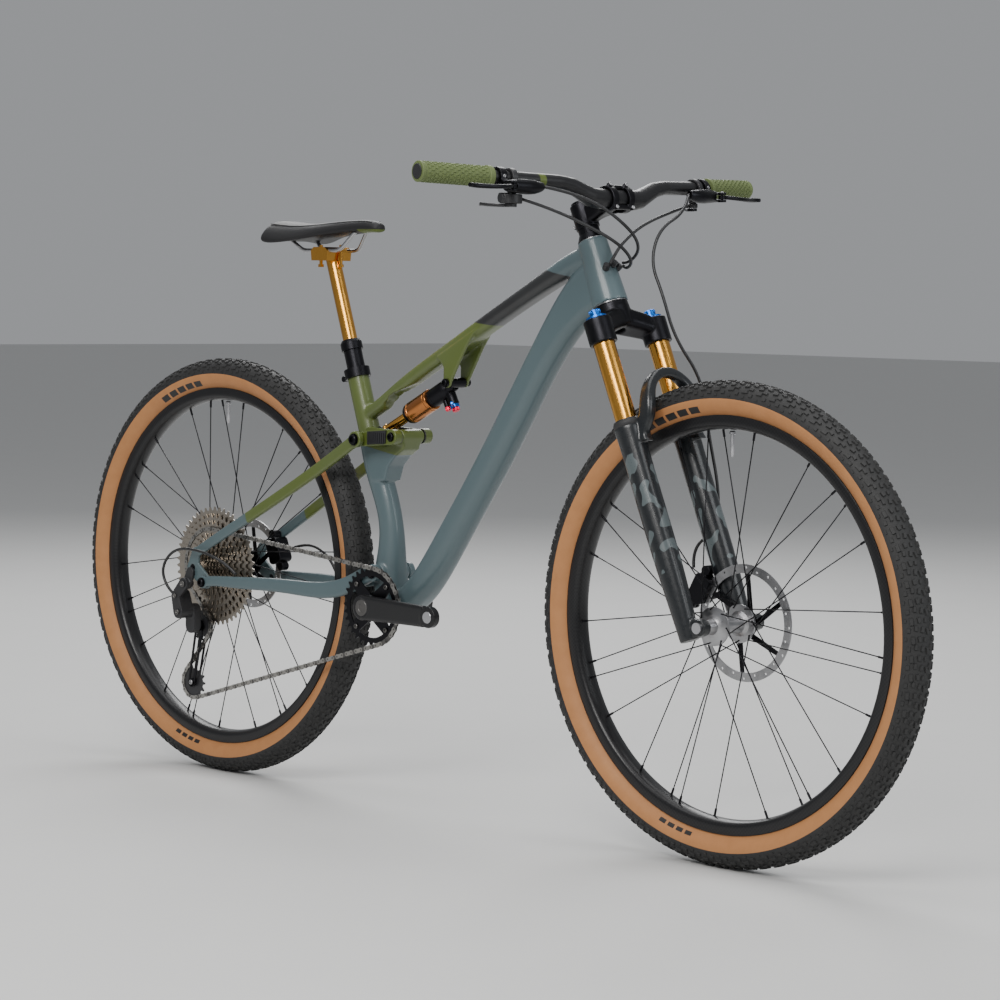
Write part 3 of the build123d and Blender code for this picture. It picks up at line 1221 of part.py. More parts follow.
def build():
    os.makedirs("parts", exist_ok=True)
    save("main_frame", main_frame())
    save("headset_bearings", *headset_bearings())
    save("bottom_bracket_cups", *bottom_bracket_cups())
    save("cable_ports", *cable_ports())
    save("frame_pivot_axles", *frame_pivot_axles())
    save("seat_clamp", seat_clamp())
    save("dropper_outer", dropper_outer())
    save("dropper_inner", dropper_inner())
    save("saddle", saddle())
    save("saddle_rails", *saddle_rails())
    save("chainstay", chainstay())
    save("seatstay", seatstay())
    save("stay_pivot_bolts", *stay_pivot_bolts())
    save("rocker_link", rocker_link())
    save("rocker_covers", *rocker_covers())
    save("shock_body", shock_body())
    save("shock_shaft", shock_shaft())
    save("shock_lever", shock_lever())
    save("fork_crown", fork_crown())
    save("stanchions", *stanchions())
    save("fork_top_caps", *fork_top_caps())
    save("fork_lowers", fork_lowers())
    save("front_axle", front_axle())
    front_caliper = caliper(FRONT_CALIPER, FRONT_ROTOR_Y, *FRONT_CALIPER_OUT)
    save("front_caliper", front_caliper.cut(leg_clearance(), *caliper_posts()))
    save("steering_hoses", *steering_hoses())
    save("front_brake_hose", front_brake_hose())
    save("rear_hoses", *rear_hoses())
    save("headset_spacers", *headset_spacers())
    save("stem", stem(), stem_faceplate())
    save("handlebar", handlebar())
    save("grips", *grips())
    save("brake_bodies", *brake_bodies())
    save("right_brake_lever", brake_lever(-1))
    save("left_brake_lever", brake_lever(1))
    save("control_bodies", *control_bodies())
    save("shift_lever", shift_lever())
    save("dropper_lever", dropper_lever())
    rear_flanges = (-19.0, 36.0)
    front_flanges = (-34.0, 27.0)
    save("rear_tyre", tyre(REAR_X))
    save("front_tyre", tyre(FRONT_X))
    save("rear_rim", *rim(REAR_X))
    save("front_rim", *rim(FRONT_X))
    save("rear_spokes", *spokes(REAR_X, rear_flanges))
    save("front_spokes", *spokes(FRONT_X, front_flanges))
    save("rear_hub", hub(REAR_X, -23.5, 73.7, rear_flanges))
    save("front_hub", hub(FRONT_X, -54.9, 54.9, front_flanges))
    save("rear_rotor", rotor(REAR_X, REAR_ROTOR_Y, REAR_ROTOR_R))
    save("front_rotor", rotor(FRONT_X, FRONT_ROTOR_Y, FRONT_ROTOR_R))
    rear_axle = join(cross_bar(AXLE, -80, 80, AXLE_R), cross_bar(AXLE, 80, 84, 9.0))
    save("rear_axle", rear_axle)
    rear_caliper = caliper(REAR_CALIPER, REAR_ROTOR_Y, *REAR_CALIPER_OUT)
    save("rear_caliper", rear_caliper.cut(seatstay()))
    save("cassette", cassette())
    save("chainring", chainring())
    save("crank_arm_right", crank_arm(-1), crank_spindle(), pedal_insert(-1))
    save("crank_arm_left", crank_arm(1), pedal_insert(1))
    save("chain_top", chain_top())
    save("chain_cassette", *chain_cassette())
    save("chain_bottom", chain_bottom())
    save("derailleur_body", derailleur_body(), derailleur_hanger())
    save("derailleur_cage", derailleur_cage(), *chain_cage())
    save("upper_pulley", pulley(UPPER_PULLEY, PULLEY_TEETH[0]))
    save("lower_pulley", pulley(LOWER_PULLEY, PULLEY_TEETH[1]))


build()
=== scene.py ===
import json
from math import asin, atan2, cos, degrees, hypot, pi, radians, sin

import bmesh
import bpy
from mathutils import Matrix, Vector


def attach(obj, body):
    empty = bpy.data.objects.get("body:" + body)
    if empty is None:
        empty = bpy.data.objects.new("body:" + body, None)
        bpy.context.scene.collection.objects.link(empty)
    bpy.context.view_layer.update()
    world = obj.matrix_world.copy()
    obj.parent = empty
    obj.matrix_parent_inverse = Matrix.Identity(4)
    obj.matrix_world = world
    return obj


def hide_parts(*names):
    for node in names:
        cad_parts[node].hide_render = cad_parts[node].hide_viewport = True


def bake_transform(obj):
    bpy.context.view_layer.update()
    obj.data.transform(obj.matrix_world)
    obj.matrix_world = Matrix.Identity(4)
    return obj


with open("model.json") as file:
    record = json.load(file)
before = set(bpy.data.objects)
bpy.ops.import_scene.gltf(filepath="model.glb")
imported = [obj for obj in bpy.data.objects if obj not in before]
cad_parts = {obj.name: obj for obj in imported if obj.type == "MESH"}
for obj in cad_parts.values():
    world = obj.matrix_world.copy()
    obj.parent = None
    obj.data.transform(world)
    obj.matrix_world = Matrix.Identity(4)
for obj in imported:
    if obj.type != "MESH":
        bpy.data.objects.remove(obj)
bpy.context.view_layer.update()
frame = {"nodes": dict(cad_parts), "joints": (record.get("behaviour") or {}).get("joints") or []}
NODES = frame["nodes"]
JOINTS = {joint["name"]: joint for joint in frame["joints"]}
MM = 0.001

# ---- places from the frame, in metres

def joint_place(name):
    return Vector(JOINTS[name]["pos_m"])


AHEAD = Vector((1, 0, 0))
ACROSS = Vector((0, 1, 0))
UP = Vector((0, 0, 1))
STEER_PLACE = joint_place("steering")
STEER_UP = Vector(JOINTS["steering"]["axis"])
STEER_AHEAD = Vector((STEER_UP.z, 0, -STEER_UP.x))
REAR_HUB = joint_place("rear_wheel_spin")
FRONT_HUB = joint_place("front_wheel_spin")
MAIN_PIVOT = joint_place("suspension")
HORST_PIVOT = joint_place("seatstay_pivot")
ROCKER_PIVOT = joint_place("rocker_pivot")
SHOCK_UPPER = joint_place("shock_pivot")
SHOCK_DOWN = -Vector(JOINTS["shock_stroke"]["axis"])
SHOCK_BELOW = Vector((-SHOCK_DOWN.z, 0, SHOCK_DOWN.x))
SHOCK_LOWER = Vector((-0.178, 0, 0.626))
CRANK_CENTRE = joint_place("crank_spin")
UPPER_PULLEY = joint_place("cage_pivot")
LOWER_PULLEY = joint_place("lower_pulley_spin")
STAY_PIVOT = Vector((-0.190, 0, 0.615))

WHEEL_R = 0.370
STEER_ZERO = 0.560
CHAIN_PITCH = 0.0127
RING_TEETH = 32
CRANK_LENGTH = 0.170
RING_Y = -0.050
COG_TEETH = 33
COG_Y = -0.0378
PULLEY_TEETH = (12, 14)


def spin(first, second, angle):
    """A direction at an angle from the first of two square directions towards the second."""
    return first * cos(angle) + second * sin(angle)


def wheel_out(angle):
    """The direction out from a wheel's axle at an angle above straight ahead."""
    return spin(AHEAD, UP, angle)


def full_turn(count, offset=0.0):
    """Evenly spaced angles once round."""
    return [2 * pi * (k + offset) / count for k in range(count)]


def steer(along, ahead=0.0, y=0.0):
    """A point given along the steering axis, ahead of it and sideways."""
    return STEER_PLACE + STEER_UP * (along - STEER_ZERO) + STEER_AHEAD * ahead + ACROSS * y


def shock(along, below=0.0, y=0.0):
    """A point given down the shock from its upper eye, below its axis and sideways."""
    return SHOCK_UPPER + SHOCK_DOWN * along + SHOCK_BELOW * below + ACROSS * y


# ---- material helpers

MATERIALS = {}


def new_material(name, colour, roughness=0.5, metallic=0.0, coat=0.0, specular=0.5):
    """Keeps a new principled material under its name, and gives its node tree and shader."""
    MATERIALS[name] = bpy.data.materials.new(name)
    MATERIALS[name].use_nodes = True
    tree = MATERIALS[name].node_tree
    shader = tree.nodes["Principled BSDF"]
    values = {"Base Color": (*colour, 1.0), "Roughness": roughness, "Metallic": metallic, "Coat Weight": coat,
              "Coat Roughness": 0.12, "Specular IOR Level": specular}
    for socket, value in values.items():
        shader.inputs[socket].default_value = value
    return tree, shader


def add_node(tree, kind, **values):
    """A node with its properties set; an input is set by its name with spaces as underscores."""
    node = tree.nodes.new(kind)
    for key, value in values.items():
        if hasattr(node, key):
            setattr(node, key, value)
        else:
            node.inputs[key.replace("_", " ")].default_value = value
    return node


def position(tree):
    """The place on the object at rest."""
    return add_node(tree, "ShaderNodeTexCoord").outputs["Object"]


def noise(tree, scale, detail, vector=None):
    node = add_node(tree, "ShaderNodeTexNoise", Scale=scale, Detail=detail)
    tree.links.new(vector or position(tree), node.inputs["Vector"])
    return node.outputs["Fac"]


def stretched(tree, factors):
    """Coordinates scaled differently along each axis, for brushed and layered surfaces."""
    node = add_node(tree, "ShaderNodeMapping", Scale=factors)
    tree.links.new(position(tree), node.inputs["Vector"])
    return node.outputs["Vector"]


def remap(tree, value, low, high, out_low, out_high):
    node = add_node(tree, "ShaderNodeMapRange", From_Min=low, From_Max=high, To_Min=out_low, To_Max=out_high)
    tree.links.new(value, node.inputs["Value"])
    return node.outputs["Result"]


def mix_colours(tree, factor, first, second):
    """A blend of two colours, each a tuple or a socket."""
    node = add_node(tree, "ShaderNodeMix", data_type="RGBA")
    tree.links.new(factor, node.inputs[0])
    for socket, value in ((node.inputs[6], first), (node.inputs[7], second)):
        if isinstance(value, tuple):
            socket.default_value = (*value, 1.0)
        else:
            tree.links.new(value, socket)
    return node.outputs[2]


def bump(tree, shader, height, strength, distance):
    node = add_node(tree, "ShaderNodeBump", Strength=strength, Distance=distance)
    tree.links.new(height, node.inputs["Height"])
    tree.links.new(node.outputs["Normal"], shader.inputs["Normal"])


def math_node(tree, operation, first, second):
    node = add_node(tree, "ShaderNodeMath", operation=operation)
    for index, value in enumerate((first, second)):
        if isinstance(value, float):
            node.inputs[index].default_value = value
        else:
            tree.links.new(value, node.inputs[index])
    return node.outputs[0]


def both(tree, first, second):
    """1 where two masks overlap."""
    return math_node(tree, "MULTIPLY", first, second)


def roughen(tree, shader, pattern, low, high):
    """Lets the roughness follow a pattern."""
    tree.links.new(remap(tree, pattern, 0.3, 0.7, low, high), shader.inputs["Roughness"])


def tint(tree, shader, factor, first, second):
    """Blends two base colours by a mask."""
    tree.links.new(mix_colours(tree, factor, first, second), shader.inputs["Base Color"])


def beyond(tree, normal, offset, blur=0.0006):
    """1 where the place along the normal is past the offset, and 0 before it."""
    node = add_node(tree, "ShaderNodeVectorMath", operation="DOT_PRODUCT")
    tree.links.new(position(tree), node.inputs[0])
    node.inputs[1].default_value = normal
    return remap(tree, node.outputs["Value"], offset - blur, offset + blur, 0.0, 1.0)


def short_of(tree, normal, offset):
    return math_node(tree, "SUBTRACT", 1.0, beyond(tree, normal, offset))


# ---- materials

GREEN = (0.085, 0.115, 0.018)
SLATE = (0.078, 0.118, 0.130)
BLACK = (0.012, 0.012, 0.013)
CARBON = (0.008, 0.008, 0.009)
FORK_BLACK = (0.010, 0.012, 0.014)
ROTOR_STEEL = (0.40, 0.40, 0.41)
TAN = (0.46, 0.205, 0.075)
FORK_BAND = (steer(0.095).dot(STEER_UP), steer(0.285).dot(STEER_UP))


def paint_finish(tree, shader):
    """Fine flake and a slight orange peel under a satin coat."""
    roughen(tree, shader, noise(tree, 2600.0, 2.0), 0.36, 0.46)
    bump(tree, shader, noise(tree, 420.0, 2.0), 0.05, 0.0003)


def painted(tree, shader, colour, shade):
    """Paint whose colour drifts a little towards a shade."""
    tint(tree, shader, remap(tree, noise(tree, 9.0, 2.0), 0.3, 0.7, 0.0, 0.12), colour, shade)
    paint_finish(tree, shader)


def frame_paint():
    """Slate paint with a green rear half of the top tube and a black stretch ahead of it."""
    tree, shader = new_material("frame_paint", SLATE, coat=0.35)
    top_tube = both(tree, beyond(tree, (-0.85, 0, 1.0), 0.675), beyond(tree, (0.16, 0, 1.0), 0.570))
    black = both(tree, top_tube, short_of(tree, (0.22, 0, 1.0), 0.947))
    green = both(tree, top_tube, short_of(tree, (0.11, 0, 1.0), 0.821))
    colour = mix_colours(tree, green, mix_colours(tree, black, SLATE, BLACK), GREEN)
    painted(tree, shader, colour, (0.10, 0.12, 0.12))


def stay_paint():
    """Green paint that turns to slate near the dropouts."""
    tree, shader = new_material("stay_paint", GREEN, coat=0.35)
    colour = mix_colours(tree, short_of(tree, (1.0, 0, 0.35), -0.282), GREEN, SLATE)
    painted(tree, shader, colour, (0.10, 0.12, 0.10))


def slate_paint():
    tree, shader = new_material("slate", SLATE, coat=0.35)
    painted(tree, shader, SLATE, tuple(0.6 * part for part in SLATE))


def anodised(name, colour, roughness=0.32, brushed=(60.0, 900.0, 60.0)):
    """Metal, bare or coloured, with fine turning marks."""
    tree, shader = new_material(name, colour, roughness, metallic=1.0)
    lines = noise(tree, 1.0, 4.0, stretched(tree, brushed))
    roughen(tree, shader, lines, roughness - 0.07, roughness + 0.1)
    shade = remap(tree, noise(tree, 40.0, 3.0), 0.35, 0.65, 0.0, 0.25)
    tint(tree, shader, shade, colour, tuple(0.72 * part for part in colour))
    bump(tree, shader, lines, 0.06, 0.0002)


def moulded(name, colour, roughness=0.5, grain=1500.0, depth=0.12):
    """Plastic or rubber with a fine moulded grain."""
    tree, shader = new_material(name, colour, roughness)
    fine = noise(tree, grain, 2.0)
    roughen(tree, shader, fine, roughness - 0.06, roughness + 0.08)
    dust = remap(tree, noise(tree, 30.0, 3.0), 0.45, 0.8, 0.0, 0.3)
    tint(tree, shader, dust, colour, tuple(part * 1.5 + 0.006 for part in colour))
    bump(tree, shader, fine, depth, 0.0003)


def carbon():
    """Black carbon with a faint weave under clear lacquer."""
    tree, shader = new_material("carbon", CARBON, 0.42, coat=0.12, specular=0.35)
    weave = add_node(tree, "ShaderNodeTexChecker", Scale=320.0)
    weave.inputs["Color1"].default_value = (0.005, 0.005, 0.006, 1)
    weave.inputs["Color2"].default_value = (0.011, 0.011, 0.012, 1)
    tree.links.new(position(tree), weave.inputs["Vector"])
    tree.links.new(weave.outputs["Color"], shader.inputs["Base Color"])
    roughen(tree, shader, noise(tree, 300.0, 3.0), 0.28, 0.42)


def bar_finish():
    """Black carbon with one green band beside the right controls."""
    tree, shader = new_material("bar", CARBON, 0.38, coat=0.15, specular=0.35)
    band = both(tree, beyond(tree, (0, 1, 0), -0.166), beyond(tree, (0, -1, 0), 0.154))
    tint(tree, shader, band, CARBON, GREEN)
    roughen(tree, shader, noise(tree, 260.0, 3.0), 0.32, 0.46)


def saddle_finish():
    """Black cover with a fine grain and a green patch under the nose."""
    tree, shader = new_material("saddle_cover", BLACK, 0.5, specular=0.35)
    patch = both(tree, beyond(tree, (1, 0, 0), -0.231), beyond(tree, (0, 0, -1), -0.9670))
    tint(tree, shader, patch, BLACK, GREEN)
    grain = noise(tree, 1100.0, 2.0)
    roughen(tree, shader, grain, 0.44, 0.60)
    bump(tree, shader, grain, 0.25, 0.0003)


def rocker_finish():
    """Green arms with a black bridge between them."""
    tree, shader = new_material("rocker", GREEN, coat=0.3)
    arms = math_node(tree, "ADD", beyond(tree, (0, 1, 0), 0.0275), beyond(tree, (0, -1, 0), 0.0275))
    tint(tree, shader, arms, BLACK, GREEN)
    paint_finish(tree, shader)


def tan_wall():
    """Tan casing with the slight mottle of skinwall rubber."""
    tree, shader = new_material("tan_wall", TAN, 0.62)
    threads = add_node(tree, "ShaderNodeTexWave", Scale=190.0, Distortion=1.5, Detail=2.0)
    tree.links.new(position(tree), threads.inputs["Vector"])
    mottle = remap(tree, noise(tree, 55.0, 4.0), 0.35, 0.75, 0.0, 0.4)
    tint(tree, shader, mottle, TAN, (0.36, 0.15, 0.05))
    roughen(tree, shader, noise(tree, 500.0, 2.0), 0.54, 0.7)
    bump(tree, shader, threads.outputs["Fac"], 0.05, 0.0002)


def fork_finish():
    """Gloss black legs with a generic patchwork of grey along their middle."""
    tree, shader = new_material("fork_paint", FORK_BLACK, 0.3, coat=0.15)
    patches = noise(tree, 1.0, 0.0, stretched(tree, (70.0, 30.0, 38.0)))
    patch = remap(tree, patches, 0.610, 0.622, 0.0, 1.0)
    up = tuple(STEER_UP)
    band = both(tree, beyond(tree, up, FORK_BAND[0]), short_of(tree, up, FORK_BAND[1]))
    tint(tree, shader, both(tree, patch, band), FORK_BLACK, (0.085, 0.105, 0.11))
    roughen(tree, shader, noise(tree, 200.0, 2.0), 0.26, 0.36)


def rotor_finish(name, centre, ring_r):
    """Brushed steel outside a radius from the axle, and a black carrier inside it."""
    tree, shader = new_material(name, ROTOR_STEEL, 0.3, metallic=1.0)
    place = position(tree)
    for operation, other in (("SUBTRACT", tuple(centre)), ("MULTIPLY", (1, 0, 1)), ("LENGTH", None)):
        node = add_node(tree, "ShaderNodeVectorMath", operation=operation)
        tree.links.new(place, node.inputs[0])
        if other:
            node.inputs[1].default_value = other
        place = node.outputs[0]
    outside = remap(tree, node.outputs["Value"], ring_r - 0.0005, ring_r + 0.0005, 0.0, 1.0)
    tint(tree, shader, outside, (0.02, 0.02, 0.022), ROTOR_STEEL)
    roughen(tree, shader, noise(tree, 900.0, 3.0), 0.24, 0.42)


METALS = {
    "black_metal": ((0.022, 0.022, 0.025), 0.36),
    "bare_metal": ((0.56, 0.56, 0.58), 0.28),
    "steel": ((0.42, 0.42, 0.43), 0.34),
    "dark_steel": ((0.16, 0.155, 0.15), 0.38),
    "chain_steel": ((0.34, 0.33, 0.31), 0.32),
    "nickel": ((0.40, 0.36, 0.31), 0.30),
    "gold": ((0.72, 0.36, 0.07), 0.17, (900.0, 900.0, 24.0)),
    "copper": ((0.50, 0.19, 0.06), 0.20),
    "blue_metal": ((0.02, 0.16, 0.62), 0.30),
    "red_metal": ((0.65, 0.02, 0.06), 0.30),
}
MOULDINGS = {
    "black_plastic": ((0.016, 0.016, 0.018), 0.42),
    "rubber": ((0.020, 0.020, 0.021), 0.62, 900.0, 0.2),
    "tread": ((0.018, 0.018, 0.018), 0.66, 700.0, 0.35),
    "print_black": ((0.012, 0.012, 0.012), 0.5),
    "hose": ((0.012, 0.012, 0.013), 0.38, 2000.0, 0.05),
    "grip": ((0.110, 0.145, 0.048), 0.62, 1200.0, 0.2),
}
for made, values in METALS.items():
    anodised(made, *values)
for made, values in MOULDINGS.items():
    moulded(made, *values)
for make in (frame_paint, stay_paint, slate_paint, carbon, bar_finish, saddle_finish, rocker_finish,
             tan_wall, fork_finish):
    make()
rotor_finish("rear_rotor", REAR_HUB, 0.0655)
rotor_finish("front_rotor", FRONT_HUB, 0.0755)


# ---- mesh helpers

def placed(name, data):
    """A new object in the scene."""
    obj = bpy.data.objects.new(name, data)
    bpy.context.scene.collection.objects.link(obj)
    return obj


def finished(name, mesh, body, materials, replaces=(), smooth=True):
    """Makes the mesh a piece in the named materials, split by spaces, that rides on its body."""
    for polygon in mesh.polygons:
        polygon.use_smooth = smooth
    obj = placed(name, mesh)
    for entry in materials.split():
        obj.data.materials.append(MATERIALS[entry])
    if body:
        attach(obj, body)
    if replaces:
        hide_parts(*replaces)
    return obj


def sharp_edges(obj, angle):
    """Keeps edges sharper than the angle crisp on a smooth-shaded piece."""
    bm = bmesh.new()
    bm.from_mesh(obj.data)
    for edge in bm.edges:
        folded = len(edge.link_faces) == 2 and edge.calc_face_angle(0.0) > radians(angle)
        edge.smooth = not folded
    bm.to_mesh(obj.data)
    bm.free()


class Solids:
    """Collects closed shapes, each with a material index, into one mesh."""

    def __init__(self):
        self.bm = bmesh.new()

    def rings(self, loops, material=0, closed=False):
        """Joins loops of points of equal length with quads, capped unless the last meets the first."""
        rows = [[self.bm.verts.new(point) for point in loop] for loop in loops]
        count = len(rows[0])
        pairs = list(zip(rows, rows[1:]))
        if closed:
            pairs.append((rows[-1], rows[0]))
        faces = []
        for low, high in pairs:
            for index in range(count):
                after = (index + 1) % count
                faces.append(self.bm.faces.new((low[index], low[after], high[after], high[index])))
        if not closed:
            faces.append(self.bm.faces.new(rows[0][::-1]))
            faces.append(self.bm.faces.new(rows[-1]))
        for face in faces:
            face.material_index = material

    def turned(self, start, axis, profile, material=0, segments=48):
        """A solid of revolution: profile is (distance along, radius) pairs from a start point."""
        axis = Vector(axis).normalized()
        side = axis.orthogonal().normalized()
        other = axis.cross(side)
        loops = []
        for along, radius in profile:
            centre = Vector(start) + axis * along
            reach = max(radius, 0.00002)
            loops.append([centre + spin(side, other, angle) * reach for angle in full_turn(segments)])
        self.rings(loops, material)

    def turned_mm(self, start, axis, profile, material=0, segments=32):
        """A solid of revolution whose profile is in millimetres."""
        self.turned(start, axis, [(along * MM, radius * MM) for along, radius in profile], material, segments)

    def rod(self, start, end, radius, material=0, segments=12):
        reach = Vector(end) - Vector(start)
        self.turned(start, reach, [(0, radius), (reach.length, radius)], material, segments)

    def prism(self, outline, thickness, material=0):
        """A flat plate: outline points in order, thickened along a vector."""
        self.rings([outline, [point + thickness for point in outline]], material)

    def block(self, centre, axes, sizes, material=0, taper=1.0):
        """A box on three axes, narrower at its third axis' far end by the taper."""
        first, second, third = (axis.normalized() * size / 2 for axis, size in zip(axes, sizes))
        loops = []
        for height, scale in ((-1, 1.0), (1, taper)):
            loops.append([centre + third * height + first * a * scale + second * b * scale
                          for a, b in ((-1, -1), (1, -1), (1, 1), (-1, 1))])
        self.rings(loops, material)

    def bolt(self, place, axis, radius, material=0):
        """A round-headed screw with a hexagonal socket."""
        shares = ((0, 1), (0.45, 1), (0.6, 0.86), (0.62, 0.52), (0.25, 0.46), (0.24, 0.0))
        self.turned(place, axis, [(radius * along, radius * out) for along, out in shares], material, 18)

    def build(self, name, body, materials, replaces=(), smooth=True, sharp=None):
        """Ends the mesh as a piece; edges past the sharp angle stay crisp."""
        bmesh.ops.recalc_face_normals(self.bm, faces=self.bm.faces)
        mesh = bpy.data.meshes.new(name)
        self.bm.to_mesh(mesh)
        self.bm.free()
        obj = finished(name, mesh, body, materials, replaces, smooth)
        if sharp:
            sharp_edges(obj, sharp)
        return obj


def spun_ring(solids, centre, profile, segments=240):
    """A closed profile of (radius, Y) points turned about a wheel's axle."""
    loops = []
    for angle in full_turn(segments):
        out = wheel_out(angle)
        loops.append([centre + out * radius + ACROSS * y for radius, y in profile])
    solids.rings(loops, closed=True)


def nurbs_points(points, steps=10):
    """Points along a smooth spline that a route's points control."""
    curve = bpy.data.curves.new("route", "CURVE")
    curve.dimensions = "3D"
    spline = curve.splines.new("NURBS")
    spline.points.add(len(points) - 1)
    for target, point in zip(spline.points, points):
        target.co = (*point, 1.0)
    spline.order_u = 3
    spline.use_endpoint_u = True
    spline.resolution_u = steps
    holder = bpy.data.objects.new("route", curve)
    mesh = bpy.data.meshes.new_from_object(holder)
    result = [vertex.co.copy() for vertex in mesh.vertices]
    bpy.data.objects.remove(holder)
    bpy.data.curves.remove(curve)
    bpy.data.meshes.remove(mesh)
    return result


def path_frames(points):
    """Each point of a path with a twist-free pair of cross directions."""
    frames = []
    side = None
    for index, point in enumerate(points):
        before = points[max(index - 1, 0)]
        after = points[min(index + 1, len(points) - 1)]
        heading = (after - before).normalized()
        if side is None:
            side = heading.orthogonal()
        side = (side - heading * side.dot(heading)).normalized()
        frames.append((point, side, heading.cross(side)))
    return frames


def tube_on_path(solids, points, radius, segments):
    """A round tube along a path."""
    loops = []
    for point, side, other in path_frames(points):
        loops.append([point + spin(side, other, angle) * radius for angle in full_turn(segments)])
    solids.rings(loops)


def softened(node, voxel, passes, name, body, material):
    """A moulded skin over a CAD node: its shape remeshed, with its joints blended."""
    obj = placed(name, NODES[node].data.copy())
    remesh = obj.modifiers.new("remesh", "REMESH")
    remesh.mode = "VOXEL"
    remesh.voxel_size = voxel
    remesh.adaptivity = 0.0
    smooth = obj.modifiers.new("smooth", "SMOOTH")
    smooth.iterations = passes
    smooth.factor = 0.5
    bpy.context.view_layer.update()
    evaluated = obj.evaluated_get(bpy.context.evaluated_depsgraph_get())
    result = bpy.data.meshes.new_from_object(evaluated)
    bpy.data.objects.remove(obj)
    result.materials.clear()
    finished(name, result, body, material, (node,))


# ---- wheels

TREAD_R = 0.0305
TREAD_CENTRE = WHEEL_R - TREAD_R
KNOB = 0.0022
RIM_R = 0.317
RIM_HALF = 0.0170
SPOKES_PER_SIDE = 14
SPOKE_RIM_R = 0.297
FLANGE_R = 0.026
RIM_FLOOR = 0.0045


def wall_profile(steps=8):
    """The outside of the tan side wall from the rim to the tread, as radius and Y."""
    low, high = Vector((RIM_R + 0.0012, 0.0146)), Vector((TREAD_CENTRE + 0.003, TREAD_R - 0.0022))
    bulge = Vector((TREAD_CENTRE - 0.0125, TREAD_R - 0.0035))
    points = []
    for k in range(steps + 1):
        t = k / steps
        point = low * (1 - t) ** 2 + bulge * 2 * t * (1 - t) + high * t * t
        points.append((point.x, point.y))
    return points


def tyre(end, centre, body):
    """Casing with tan walls and rows of tread knobs."""
    solids = Solids()
    wall = wall_profile()
    edge = atan2(wall[-1][0] - TREAD_CENTRE, wall[-1][1])
    crown_r = TREAD_R - KNOB
    crown = []
    for k in range(1, 16):
        angle = edge + (pi - 2 * edge) * k / 16
        crown.append((TREAD_CENTRE + crown_r * sin(angle), crown_r * cos(angle)))
    other_wall = [(radius, -y) for radius, y in reversed(wall)]
    bead = RIM_R - RIM_FLOOR
    outside = [(bead, 0.0142)] + wall + crown + other_wall + [(bead, -0.0142)]
    inside = [(bead, -0.0118), (TREAD_CENTRE, -0.0262), (WHEEL_R - 0.008, -0.008), (WHEEL_R - 0.008, 0.008),
              (TREAD_CENTRE, 0.0262), (bead, 0.0118)]
    spun_ring(solids, centre, outside + inside)
    for face in solids.bm.faces:
        middle = face.calc_center_median() - centre
        on_wall = RIM_R + 0.0009 < hypot(middle.x, middle.z) < TREAD_CENTRE + 0.0035
        face.material_index = 1 if on_wall and abs(middle.y) > 0.013 else 0
    tread_knobs(solids, centre)
    side_marks(solids, centre)
    solids.build(f"{end}_tyre_detail", body, "tread tan_wall print_black", (f"{end}_tyre",),
                 sharp=40.0)


def knob(solids, centre, angle, tilt, length, width, height, twist):
    """One tread knob at an angle round the wheel and a tilt across the tread."""
    out = wheel_out(angle)
    forward = spin(UP, -AHEAD, angle)
    normal = spin(out, ACROSS, tilt)
    across = spin(ACROSS, -out, tilt)
    foot = centre + out * TREAD_CENTRE + normal * (TREAD_R - KNOB + height / 2 - 0.0006)
    axes = (spin(forward, across, twist), spin(across, -forward, twist), normal)
    solids.block(foot, axes, (length, width, height + 0.0012), 0, 0.78)


# Each row of knobs: shift along the tread in pitches, a further shift that is opposite on the two sides,
# tilt in degrees on even and on odd rows, length and width in mm, height against the tallest, and twist.
KNOB_ROWS = (
    (0.0, 0.08, 7, 7, 10.5, 5.2, 1.0, 12),
    (0.5, 0.0, 17, 14, 7.0, 4.6, 1.0, -8),
    (0.02, 0.0, 24, 24, 9.2, 5.4, 1.0, -14),
    (0.52, 0.0, 33, 33, 9.0, 5.6, 1.0, 10),
    (0.10, 0.0, 43, 43, 8.8, 5.0, 1.0, -6),
    (0.45, 0.0, 52, 55, 12.0, 6.4, 1.0, 5),
    (0.98, 0.0, 64, 64, 7.5, 5.8, 0.8, 0),
    (0.5, 0.0, 73, 73, 6.0, 4.0, 0.5, 0),
)
KNOB_PITCHES = 84


def tread_knobs(solids, centre):
    """Paired centre blocks, canted blocks beside them and tall shoulder knobs."""
    step = 2 * pi / KNOB_PITCHES
    for row in range(KNOB_PITCHES):
        for side in (-1, 1):
            for shift, split, even, odd, length, width, height, twist in KNOB_ROWS:
                tilt = odd if row % 2 else even
                knob(solids, centre, row * step + (shift + side * split) * step, side * radians(tilt),
                     length * MM, width * MM, KNOB * height, side * radians(twist))


# Each group of marks: start angle and number, width of one in degrees, and its inner and outer radius.


MARK_GROUPS = ((118.0, 5, 3.2, 0.3225, 0.3320), (262.0, 4, 2.2, 0.3235, 0.3290))


def side_marks(solids, centre):
    """Rows of plain equal printed blocks on both side walls."""
    wall = wall_profile(24)
    for side in (-1, 1):
        for start, number, width, low, high in MARK_GROUPS:
            for k in range(number):
                mark_block(solids, centre, wall, side, start - k * (width + 0.9), width, low, high)


def mark_block(solids, centre, wall, side, start, width, low, high):
    """One printed block that follows the side wall's curve."""
    steps = 5
    rows = []
    for radius in (low, (low + high) / 2, high):
        offset = centre + ACROSS * side * (wall_y(wall, radius) + 0.0003)
        angles = [radians(start - width * k / steps) for k in range(steps + 1)]
        rows.append([offset + wheel_out(angle) * radius for angle in angles])
    inward = ACROSS * -side * 0.0008
    for lower, upper in zip(rows, rows[1:]):
        for k in range(steps):
            solids.prism([lower[k], lower[k + 1], upper[k + 1], upper[k]], inward, 2)


